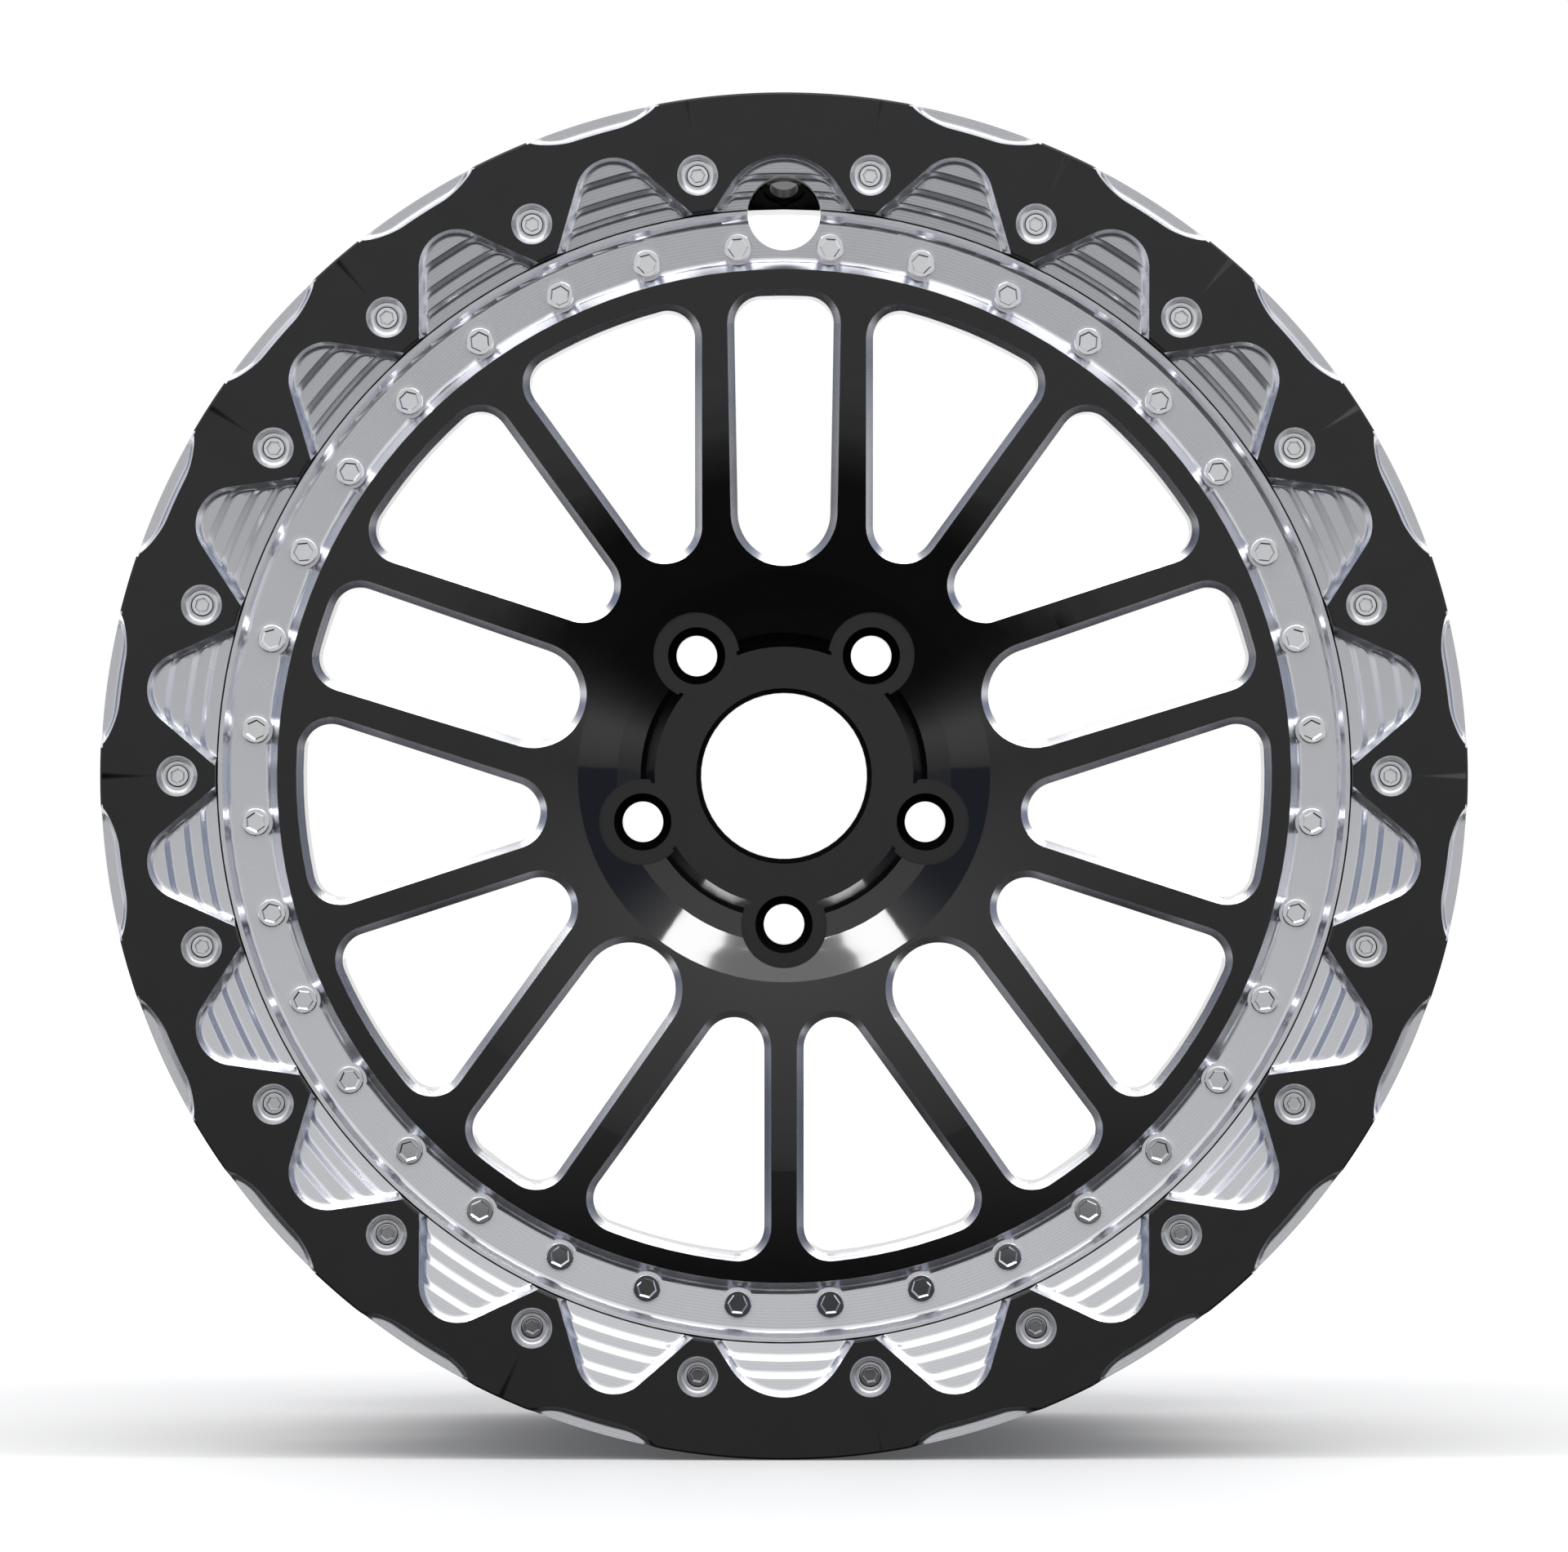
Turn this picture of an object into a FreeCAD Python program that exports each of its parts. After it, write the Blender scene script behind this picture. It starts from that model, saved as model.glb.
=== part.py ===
import FreeCAD, Part
import math
import os

import Sketcher

# A multi-piece beadlock car wheel: a forged spoked centre bolted into a one-piece barrel,
# with an outer ring screwed to the barrel's front that clamps the tyre's outer bead.
# The hub's mounting face is the plane y = 0, the wheel spins about Y and its front looks along -Y.
# Depths are measured backwards from the front plane of the outer ring, radii from the wheel's axis.

SIZES = (
    # Overall
    ("outer_radius", 273.0, "edge of the ring and of the rear flange"),
    ("front_reach", 72.0, "front plane ahead of the hub's mounting face"),
    ("rim_width", 215.9, "between the two bead faces"),
    ("edge_break", 1.6, "chamfer on the ring's outer edges"),
    # Outer ring
    ("ring_depth", 17.0, "front plane to the seat on the barrel"),
    ("ring_bore", 227.2, "inner radius of the ring"),
    ("bore_break", 0.9, "chamfer on the ring's front bore edge"),
    ("register_radius", 253.0, "barrel's bead seat, which centres the ring"),
    ("register_step", 2.0, "how far the ring reaches over the register"),
    ("pilot_gap", 0.25, "radial clearance of the registers"),
    ("crescent_count", 22, "crescents round the ring"),
    ("crescent_base", 27.4, "half width of a crescent at its base"),
    ("crescent_foot", 226.8, "height at which that width is measured"),
    ("flank_angle", 32.5, "lean of a crescent's flank to the radius"),
    ("tall_apex", 256.4, "outermost point of a tall crescent"),
    ("short_apex", 247.9, "outermost point of a short crescent"),
    ("riser_low", 233.7, "radius of the first riser"),
    ("riser_middle", 240.5, "radius of the second riser"),
    ("riser_high", 248.7, "radius of the third riser"),
    ("tread_first", 2.0, "depth of the outermost tread"),
    ("tread_drop", 2.2, "drop from one tread to the next"),
    ("cutter_radius", 3.0, "corner left by the milling cutter"),
    ("scallop_depth", 6.2, "how far a scallop cuts into the edge"),
    ("scallop_half", 27.4, "half width of a scallop at the edge"),
    ("scallop_flank", 60.0, "lean of a scallop's flank to the radius"),
    ("scallop_corner", 9.0, "corner radius of a scallop"),
    ("scallop_floor", 5.0, "depth of a scallop's floor"),
    # Beadlock screws and inserts
    ("screw_circle", 242.3, "radius of the beadlock screws' circle"),
    ("recess_radius", 8.15, "mouth of a screw recess"),
    ("recess_taper", 1.3, "narrowing of the recess wall"),
    ("recess_depth", 3.2, "depth of the recess floor"),
    ("screw_head", 4.4, "radius of a screw head"),
    ("screw_head_height", 5.0, "height of a screw head"),
    ("screw_sunk", 1.2, "head face below the recess floor"),
    ("screw_radius", 3.0, "radius of a screw's shank"),
    ("screw_socket", 4.8, "across flats of a screw's socket"),
    ("screw_socket_depth", 2.6, "depth of that socket"),
    ("screw_length", 21.0, "shank below the head"),
    ("tip_room", 1.0, "room past a screw's tip"),
    ("insert_radius", 4.6, "outside of a threaded insert"),
    ("insert_length", 12.0, "length of a threaded insert"),
    ("hole_gap", 0.2, "radial clearance of holes round shanks"),
    ("thread_gap", 0.05, "radial clearance of threads and pressed sleeves"),
    # Spoked centre
    ("joint_gap", 0.6, "gap between the centre's lip and the ring"),
    ("disc_edge", 202.7, "edge of the coated spoke face"),
    ("disc_face", 5.0, "depth of the flat spoke face"),
    ("channel_depth", 11.0, "depth of the bolt channel's floor"),
    ("channel_inner", 206.3, "inner edge of the channel floor"),
    ("channel_outer", 222.6, "outer edge of the channel floor"),
    ("channel_fillet", 2.6, "fillets along the channel floor"),
    ("lip_width", 1.6, "width of the lip's top"),
    ("flange_thickness", 12.0, "centre's flange behind the channel"),
    ("spigot_length", 6.0, "centre's spigot in the barrel"),
    ("flat_radius", 158.0, "where the spokes start to dip"),
    ("spoke_dip", 13.0, "dip of the spokes down to the dish"),
    ("dish_radius", 82.8, "outer edge of the hub dish"),
    ("step_radius", 67.3, "outer edge of the hub step"),
    ("step_depth", 31.0, "depth of that edge"),
    ("ledge_radius", 57.9, "inner edge of the hub step"),
    ("ledge_depth", 35.0, "depth of that edge"),
    ("pad_radius", 52.3, "edge of the flat hub pad"),
    ("pad_depth", 42.0, "depth of the flat hub pad"),
    ("hub_bore", 33.55, "centre bore"),
    ("hub_bore_chamfer", 2.0, "chamfer of the centre bore"),
    ("hub_rear_radius", 78.0, "edge of the mounting face"),
    ("spoke_rear_radius", 92.0, "where the spokes' back meets the hub"),
    ("spoke_rear_depth", 56.0, "depth of the spokes' back there"),
    # Windows
    ("arm_count", 5, "pairs of parallel spokes"),
    ("window_outer", 195.0, "outer edge of the windows"),
    ("window_corner", 13.7, "outer corners of the windows"),
    ("slot_half_outer", 22.7, "half width of a slot at its outer end"),
    ("slot_half_inner", 21.4, "half width of a slot at its inner end"),
    ("slot_inner", 84.2, "inner end of a slot"),
    ("pair_reach", 32.8, "slot axis to the far side of a paired spoke"),
    ("single_half", 5.1, "half width of a single spoke"),
    ("wide_inner_corner", 15.0, "inner corner of a wide window"),
    ("window_chamfer", 2.8, "bright chamfer round the windows"),
    # Wheel studs
    ("lug_count", 5, "wheel stud holes"),
    ("lug_circle", 60.0, "radius of the stud circle"),
    ("lug_hole", 8.2, "radius of a stud hole"),
    ("lug_seat", 11.6, "mouth of the conical seat"),
    ("lug_seat_angle", 30.0, "half angle of that cone"),
    ("lug_boss", 16.2, "radius of a stud boss"),
    ("lug_boss_depth", 38.0, "depth of a boss face"),
    ("lug_groove", 1.1, "groove round a boss"),
    ("lug_groove_depth", 2.0, "depth of that groove"),
    ("pocket_radius", 11.0, "rear pockets between the studs"),
    ("pocket_depth", 14.0, "depth of those pockets"),
    # Assembly bolts, washers and nuts
    ("bolt_count", 36, "assembly bolts"),
    ("bolt_circle", 212.1, "radius of their circle"),
    ("bolt_head", 5.55, "radius of a bolt head"),
    ("bolt_head_height", 4.4, "height of a bolt head"),
    ("bolt_head_chamfer", 0.4, "edge of a bolt head"),
    ("bolt_socket", 6.3, "across flats of the socket"),
    ("bolt_socket_depth", 2.4, "depth of the socket"),
    ("bolt_radius", 3.5, "radius of the shank"),
    ("bolt_tail", 2.0, "shank past the nut"),
    ("spotface_radius", 6.7, "notch in the channel wall at a bolt"),
    ("washer_radius", 6.6, "outside of a washer"),
    ("washer_thickness", 1.4, "thickness of a washer"),
    ("nut_flats", 11.0, "across flats of a nut"),
    ("nut_height", 6.0, "height of a nut"),
    # Barrel
    ("barrel_flange", 12.0, "thickness of the barrel's inner flange"),
    ("barrel_flange_bore", 203.0, "bore of that flange"),
    ("bead_room", 17.0, "room for the clamped bead"),
    ("shoulder_radius", 267.0, "edge of the inner clamp shoulder"),
    ("shoulder_thickness", 6.0, "thickness of the shoulder's edge"),
    ("wall", 5.5, "barrel wall"),
    ("throat_radius", 243.0, "inside of the barrel behind its flange"),
    ("throat_length", 4.0, "straight stretch behind the flange"),
    ("slope_length", 16.0, "front slope down to the well"),
    ("well_radius", 230.0, "inside of the drop centre"),
    ("well_length", 28.0, "length of the drop centre"),
    ("ramp_length", 28.0, "rear ramp out of the drop centre"),
    ("rear_radius", 244.0, "inside of the rear barrel"),
    ("rear_seat_radius", 256.4, "rear bead seat at the flange"),
    ("rear_seat_length", 21.0, "length of the rear bead seat"),
    ("rear_seat_taper", 1.8, "taper of the rear bead seat"),
    ("hump_height", 1.2, "safety hump over the seat"),
    ("hump_length", 6.0, "length of the safety hump"),
    ("flange_depth", 12.0, "rear flange behind its bead face"),
    ("flange_round", 4.0, "curl of the rear flange's edge"),
    # Valve
    ("access_radius", 14.7, "valve access hole in the front"),
    ("access_height", 225.2, "distance of that hole from the axis"),
    ("valve_hole", 5.75, "radius of the valve hole"),
    ("valve_spotface", 8.5, "flat round the valve hole"),
    ("valve_spotface_depth", 1.0, "depth of that flat"),
    ("valve_along", 9.0, "valve hole's place along the front slope"),
)

doc = FreeCAD.newDocument("beadlock_wheel")
sheet = doc.addObject("Spreadsheet::Sheet", "Sizes")
for row, (alias, size, note) in enumerate(SIZES, 1):
    sheet.set(f"A{row}", note)
    sheet.set(f"B{row}", str(size))
    sheet.setAlias(f"B{row}", alias)
doc.recompute()

# Depths and radii that several pieces share, as expressions on the sheet
FRONT = "Sizes.front_reach"
LIP_RADIUS = "Sizes.ring_bore - Sizes.joint_gap"
LIP_DEPTH = "Sizes.tread_first + 3 * Sizes.tread_drop"
FLANGE_BACK = "Sizes.channel_depth + Sizes.flange_thickness"
BARREL_FLANGE_BACK = f"{FLANGE_BACK} + Sizes.barrel_flange"
NUT_SEAT = f"{BARREL_FLANGE_BACK} + Sizes.washer_thickness"
NUT_BACK = f"{NUT_SEAT} + Sizes.nut_height"
SCREW_FACE = "Sizes.recess_depth + Sizes.screw_sunk"
SCREW_SEAT = f"{SCREW_FACE} + Sizes.screw_head_height"
SCREW_TURN = "180 / Sizes.crescent_count"
BOLT_TURN = "180 / Sizes.bolt_count"
CLAMP_FACE = "Sizes.ring_depth + Sizes.register_step + Sizes.bead_room"
REAR_BEAD = "Sizes.ring_depth + Sizes.rim_width"
THROAT_END = f"{BARREL_FLANGE_BACK} + Sizes.throat_length"
WELL_START = f"{THROAT_END} + Sizes.slope_length"
WELL_END = f"{WELL_START} + Sizes.well_length"
RAMP_END = f"{WELL_END} + Sizes.ramp_length"
REAR_SEAT_START = f"{REAR_BEAD} - Sizes.rear_seat_length"
SLOPE_FALL = "(Sizes.throat_radius - Sizes.well_radius)"

# Window walls, which lie inside the chamfer's outer edge
WALL_OUTER = "Sizes.window_outer - Sizes.window_chamfer"
WALL_CORNER = "Sizes.window_corner - Sizes.window_chamfer"
CORNER_ACROSS = "Sizes.slot_half_outer - Sizes.window_corner"
SLOT_END = "Sizes.slot_half_inner - Sizes.window_chamfer"
WIDE_NOOK = "Sizes.wide_inner_corner - Sizes.window_chamfer"
PAIR_WALL = "Sizes.pair_reach + Sizes.window_chamfer"
SINGLE_WALL = "Sizes.single_half + Sizes.window_chamfer"


def number(expression):
    """The present value of an expression on the sheet."""
    return float(sheet.evalExpression(expression))


def origin_feature(body, role):
    """A plane or axis of a body's own origin."""
    return next(item for item in body.Origin.OriginFeatures if item.Role == role)


def new_body(label):
    """An empty body whose label names its node."""
    body = doc.addObject("PartDesign::Body", label)
    body.Label = label
    return body


def section_sketch(body, name):
    """A sketch of half a section: depth behind the front plane across, radius up."""
    sketch = body.newObject("Sketcher::SketchObject", name)
    sketch.AttachmentSupport = (origin_feature(body, "YZ_Plane"), [""])
    sketch.MapMode = "FlatFace"
    sketch.setExpression("AttachmentOffset.Base.x", f"-({FRONT})")
    return sketch


def face_sketch(body, name, depth="0", turn=0.0):
    """A sketch seen from the front, at a depth, turned clockwise by a number of degrees."""
    sketch = body.newObject("Sketcher::SketchObject", name)
    sketch.AttachmentSupport = (origin_feature(body, "XZ_Plane"), [""])
    sketch.MapMode = "FlatFace"
    turned = FreeCAD.Rotation(FreeCAD.Vector(0, 0, 1), -turn)
    sketch.AttachmentOffset = FreeCAD.Placement(FreeCAD.Vector(0, 0, 0), turned)
    sketch.setExpression("AttachmentOffset.Base.z", f"{FRONT} - ({depth})")
    return sketch


def bind(sketch, kind, places, expression):
    """Add a constraint whose value is an expression on the sheet."""
    index = sketch.addConstraint(Sketcher.Constraint(kind, *places, number(expression)))
    sketch.setExpression(f"Constraints[{index}]", expression)


def fix_point(sketch, curve, end, across, up):
    """Hold a point of a curve at two expressions measured from the sketch's origin."""
    for kind, axis, expression in (("DistanceX", -2, across), ("DistanceY", -1, up)):
        value = number(expression)
        if abs(value) < 1e-9:
            sketch.addConstraint(Sketcher.Constraint("PointOnObject", curve, end, axis))
        elif value > 0:
            bind(sketch, kind, (-1, 1, curve, end), expression)
        else:
            bind(sketch, kind, (curve, end, -1, 1), f"-({expression})")


def join(sketch, first, second, kind="Coincident"):
    """Join the nearest ends of two curves, smoothly where kind is Tangent."""
    ends = [(a, b) for a in (1, 2) for b in (1, 2)]
    places = {
        (a, b): sketch.getPoint(first, a).distanceToPoint(sketch.getPoint(second, b)) for a, b in ends
    }
    near = min(ends, key=places.get)
    sketch.addConstraint(Sketcher.Constraint(kind, first, near[0], second, near[1]))


def polygon(sketch, corners):
    """Draw a closed polygon through corners given as pairs of expressions."""
    points = [FreeCAD.Vector(number(across), number(up), 0) for across, up in corners]
    lines = []
    for index, start in enumerate(points):
        end = points[(index + 1) % len(points)]
        lines.append(sketch.addGeometry(Part.LineSegment(start, end), False))
    for index, line in enumerate(lines):
        following = lines[(index + 1) % len(lines)]
        sketch.addConstraint(Sketcher.Constraint("Coincident", line, 2, following, 1))
    for line, (across, up) in zip(lines, corners):
        fix_point(sketch, line, 1, across, up)


def circle(sketch, up, radius):
    """Draw a circle on the sketch's vertical axis."""
    centre = FreeCAD.Vector(0, number(up), 0)
    curve = sketch.addGeometry(Part.Circle(centre, FreeCAD.Vector(0, 0, 1), number(radius)), False)
    bind(sketch, "Radius", (curve,), radius)
    fix_point(sketch, curve, 3, "0", up)


def hexagon(sketch, up, flats):
    """Draw a hexagon on the sketch's vertical axis, with two corners left and right."""
    corners = []
    for sixth in range(6):
        reach = f"({flats}) / 2 / cos(30)"
        corners.append((f"{reach} * cos({60 * sixth})", f"{up} + {reach} * sin({60 * sixth})"))
    polygon(sketch, corners)


def arc(centre, radius, start, end):
    """An arc from one angle to another, in degrees, counter-clockwise."""
    round_curve = Part.Circle(centre, FreeCAD.Vector(0, 0, 1), radius)
    return Part.ArcOfCircle(round_curve, math.radians(start), math.radians(end))


def direction(centre, point):
    """The angle in degrees at which a point lies from a centre."""
    return math.degrees(math.atan2(point.y - centre.y, point.x - centre.x))


def revolve(body, name, sketch, axis="H_Axis"):
    """Turn a section about one of its sketch's axes."""
    turned = body.newObject("PartDesign::Revolution", name)
    turned.Profile = sketch
    turned.Refine = False
    turned.ReferenceAxis = (sketch, [axis])
    turned.Angle = 360
    doc.recompute()
    return turned


def pad(body, name, sketch, height):
    """Raise a sketch towards the front."""
    raised = body.newObject("PartDesign::Pad", name)
    raised.Profile = sketch
    raised.Refine = False
    raised.setExpression("Length", height)
    doc.recompute()
    return raised


def pocket(body, name, sketch, depth=None, from_back=False, taper=None):
    """Cut a sketch backwards to a depth, or right through; from_back cuts forwards, taper leans the walls in."""
    before = body.Shape.Volume
    cut = body.newObject("PartDesign::Pocket", name)
    cut.Profile = sketch
    cut.Refine = False
    cut.Reversed = from_back
    if depth is None:
        cut.Type = "ThroughAll"
    else:
        cut.setExpression("Length", depth)
    if taper is not None:
        cut.setExpression("TaperAngle", f"-({taper})")
    doc.recompute()
    if cut.Shape.Volume >= before:
        raise RuntimeError(f"{name} cuts nothing")
    return cut


def cone_cut(body, name, up, depth, radii, length):
    """Cut a cone on the vertical axis, from radii[0] at a depth to radii[1] nearer the front."""
    cut = body.newObject("PartDesign::SubtractiveCone", name)
    cut.AttachmentSupport = (origin_feature(body, "XZ_Plane"), [""])
    cut.MapMode = "FlatFace"
    cut.setExpression("AttachmentOffset.Base.y", up)
    cut.setExpression("AttachmentOffset.Base.z", f"{FRONT} - ({depth})")
    cut.setExpression("Radius1", radii[0])
    cut.setExpression("Radius2", radii[1])
    cut.setExpression("Height", length)
    doc.recompute()
    return cut


def polar(body, name, features, count):
    """Repeat features evenly round the wheel's axis."""
    pattern = body.newObject("PartDesign::PolarPattern", name)
    pattern.Originals = features
    pattern.Refine = False
    pattern.Axis = (origin_feature(body, "Y_Axis"), [""])
    pattern.Angle = 360
    pattern.setExpression("Occurrences", count)
    body.Tip = pattern
    doc.recompute()
    return pattern


def both_sides(body, name, features, count, extent):
    """Repeat features along an arc and mirror the row to the wheel's other side."""
    multi = body.newObject("PartDesign::MultiTransform", name)
    multi.Originals = features
    multi.Refine = False
    row = body.newObject("PartDesign::PolarPattern", f"{name}Row")
    row.Axis = (origin_feature(body, "Y_Axis"), [""])
    row.setExpression("Angle", extent)
    row.setExpression("Occurrences", count)
    mirror = body.newObject("PartDesign::Mirrored", f"{name}Mirror")
    mirror.MirrorPlane = (origin_feature(body, "YZ_Plane"), [""])
    multi.Transformations = [row, mirror]
    body.Tip = multi
    doc.recompute()
    return multi


# Outer ring


TREAD_RISERS = ("Sizes.riser_high", "Sizes.riser_middle", "Sizes.riser_low")


def tread_depth(level):
    """Depth of a tread, counted from the outermost one."""
    return f"Sizes.tread_first + {level} * Sizes.tread_drop"


def crescent_half(up):
    """Half width of a crescent at a height on its axis."""
    return f"(Sizes.crescent_base - ({up} - Sizes.crescent_foot) * tan(Sizes.flank_angle))"


def crescent_feet():
    """The two flanks' lower ends, well inside the ring's bore."""
    low = "(Sizes.ring_bore - Sizes.crescent_base / 3)"
    half = crescent_half(low)
    left = FreeCAD.Vector(-number(half), number(low), 0)
    right = FreeCAD.Vector(number(half), number(low), 0)
    return low, half, left, right


def crescent_outline(sketch, apex):
    """A whole crescent: straight flanks and a round nose that touches its apex."""
    low, half, left, right = crescent_feet()
    lean = math.radians(number("Sizes.flank_angle"))
    top = number(apex)
    # The nose touches both flanks and the apex, which sets its radius.
    run = number(crescent_half(f"({apex})")) * math.cos(lean)
    radius = run / (1 - math.sin(lean))
    centre = FreeCAD.Vector(0, top - radius, 0)
    touch = FreeCAD.Vector(radius * math.cos(lean), radius * math.sin(lean), 0)
    right_end = centre + touch
    left_end = FreeCAD.Vector(-right_end.x, right_end.y, 0)
    foot = sketch.addGeometry(Part.LineSegment(left, right), False)
    right_flank = sketch.addGeometry(Part.LineSegment(right, right_end), False)
    lean_degrees = math.degrees(lean)
    nose = sketch.addGeometry(arc(centre, radius, lean_degrees, 180 - lean_degrees), False)
    left_flank = sketch.addGeometry(Part.LineSegment(left_end, left), False)
    join(sketch, foot, right_flank)
    join(sketch, right_flank, nose, "Tangent")
    join(sketch, nose, left_flank, "Tangent")
    join(sketch, left_flank, foot)
    fix_point(sketch, foot, 1, f"-{half}", low)
    fix_point(sketch, foot, 2, half, low)
    sketch.addConstraint(Sketcher.Constraint("PointOnObject", nose, 3, -2))
    bind(sketch, "Angle", (right_flank,), "90 + Sizes.flank_angle")
    bind(sketch, "Radius", (nose,), f"{crescent_half(f'({apex})')} * cos(Sizes.flank_angle)"
         " / (1 - sin(Sizes.flank_angle))")


def tread_outline(sketch, riser):
    """A crescent cut off by a riser: straight flanks, cutter corners and an arc round the wheel."""
    low, half, left, right = crescent_feet()
    lean = math.radians(number("Sizes.flank_angle"))
    cutter = number("Sizes.cutter_radius")
    reach = number(riser)
    # A cutter corner touches the riser from inside and the flank, which places its centre.
    inner = number(crescent_half("0")) - cutter / math.cos(lean)
    slope = math.tan(lean)
    squared = 1 + slope * slope
    height = (inner * slope + math.sqrt(squared * (reach - cutter) ** 2 - inner * inner)) / squared
    centre = FreeCAD.Vector(inner - slope * height, height, 0)
    out = FreeCAD.Vector(math.cos(lean), math.sin(lean), 0)
    flank_end = centre + out * cutter
    bearing = direction(FreeCAD.Vector(), centre)
    origin = FreeCAD.Vector()
    foot = sketch.addGeometry(Part.LineSegment(left, right), False)
    right_flank = sketch.addGeometry(Part.LineSegment(right, flank_end), False)
    right_corner = sketch.addGeometry(arc(centre, cutter, math.degrees(lean), bearing), False)
    edge = sketch.addGeometry(arc(origin, reach, bearing, 180 - bearing), False)
    mirrored = FreeCAD.Vector(-centre.x, centre.y, 0)
    left_corner = sketch.addGeometry(arc(mirrored, cutter, 180 - bearing, 180 - math.degrees(lean)), False)
    left_end = FreeCAD.Vector(-flank_end.x, flank_end.y, 0)
    left_flank = sketch.addGeometry(Part.LineSegment(left_end, left), False)
    join(sketch, foot, right_flank)
    join(sketch, right_flank, right_corner, "Tangent")
    join(sketch, right_corner, edge, "Tangent")
    join(sketch, edge, left_corner, "Tangent")
    join(sketch, left_corner, left_flank, "Tangent")
    join(sketch, left_flank, foot)
    fix_point(sketch, foot, 1, f"-{half}", low)
    fix_point(sketch, foot, 2, half, low)
    sketch.addConstraint(Sketcher.Constraint("Coincident", edge, 3, -1, 1))
    bind(sketch, "Radius", (edge,), riser)
    bind(sketch, "Radius", (right_corner,), "Sizes.cutter_radius")
    bind(sketch, "Radius", (left_corner,), "Sizes.cutter_radius")
    bind(sketch, "Angle", (right_flank,), "90 + Sizes.flank_angle")
    bind(sketch, "Angle", (left_flank,), "270 - Sizes.flank_angle")


def crescent(body, name, turn, apex, risers):
    """The stepped pockets of one crescent, from its outermost tread to the deepest one."""
    deepest = len(TREAD_RISERS)
    outline = face_sketch(body, f"{name}Outline", turn=turn)
    crescent_outline(outline, apex)
    level = deepest - len(risers)
    cuts = [pocket(body, f"{name}Nose", outline, tread_depth(level))]
    for riser in risers:
        level += 1
        step = face_sketch(body, f"{name}Step{level}", turn=turn)
        tread_outline(step, riser)
        cuts.append(pocket(body, f"{name}Tread{level}", step, tread_depth(level)))
    return cuts


def scallop_outline(sketch):
    """A milled bite in the ring's edge: an arc round the wheel, round corners and leaning flanks."""
    corner = number("Sizes.scallop_corner")
    lean = math.radians(number("Sizes.scallop_flank"))
    reach = number("Sizes.outer_radius - Sizes.scallop_depth")
    top = "Sizes.outer_radius + Sizes.edge_break"
    chord = "sqrt(Sizes.outer_radius ^ 2 - Sizes.scallop_half ^ 2)"
    wide = f"Sizes.scallop_half + ({top} - {chord}) * tan(Sizes.scallop_flank)"
    # A corner touches the bottom arc from outside and the flank, which places its centre.
    slope = math.tan(lean)
    offset = number(wide) - slope * number(top) - corner / math.cos(lean)
    squared = 1 + slope * slope
    height = (-offset * slope + math.sqrt(squared * (reach + corner) ** 2 - offset * offset)) / squared
    centre = FreeCAD.Vector(offset + slope * height, height, 0)
    flank_start = centre + FreeCAD.Vector(math.cos(lean), -math.sin(lean), 0) * corner
    flank_end = FreeCAD.Vector(number(wide), number(top), 0)
    bearing = direction(FreeCAD.Vector(), centre)
    mirrored = FreeCAD.Vector(-centre.x, centre.y, 0)
    left_start = FreeCAD.Vector(-flank_start.x, flank_start.y, 0)
    left_end = FreeCAD.Vector(-flank_end.x, flank_end.y, 0)
    lean_degrees = math.degrees(lean)
    bottom = sketch.addGeometry(arc(FreeCAD.Vector(), reach, bearing, 180 - bearing), False)
    right_corner = sketch.addGeometry(arc(centre, corner, bearing - 180, -lean_degrees), False)
    right_flank = sketch.addGeometry(Part.LineSegment(flank_start, flank_end), False)
    roof = sketch.addGeometry(Part.LineSegment(flank_end, left_end), False)
    left_flank = sketch.addGeometry(Part.LineSegment(left_end, left_start), False)
    left_corner = sketch.addGeometry(arc(mirrored, corner, 180 + lean_degrees, 360 - bearing), False)
    join(sketch, bottom, right_corner, "Tangent")
    join(sketch, right_corner, right_flank, "Tangent")
    join(sketch, right_flank, roof)
    join(sketch, roof, left_flank)
    join(sketch, left_flank, left_corner, "Tangent")
    join(sketch, left_corner, bottom, "Tangent")
    sketch.addConstraint(Sketcher.Constraint("Coincident", bottom, 3, -1, 1))
    bind(sketch, "Radius", (bottom,), "Sizes.outer_radius - Sizes.scallop_depth")
    bind(sketch, "Radius", (right_corner,), "Sizes.scallop_corner")
    bind(sketch, "Radius", (left_corner,), "Sizes.scallop_corner")
    fix_point(sketch, roof, 1, wide, top)
    fix_point(sketch, roof, 2, f"-({wide})", top)
    bind(sketch, "Angle", (right_flank,), "90 - Sizes.scallop_flank")
    bind(sketch, "Angle", (left_flank,), "270 + Sizes.scallop_flank")


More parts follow.
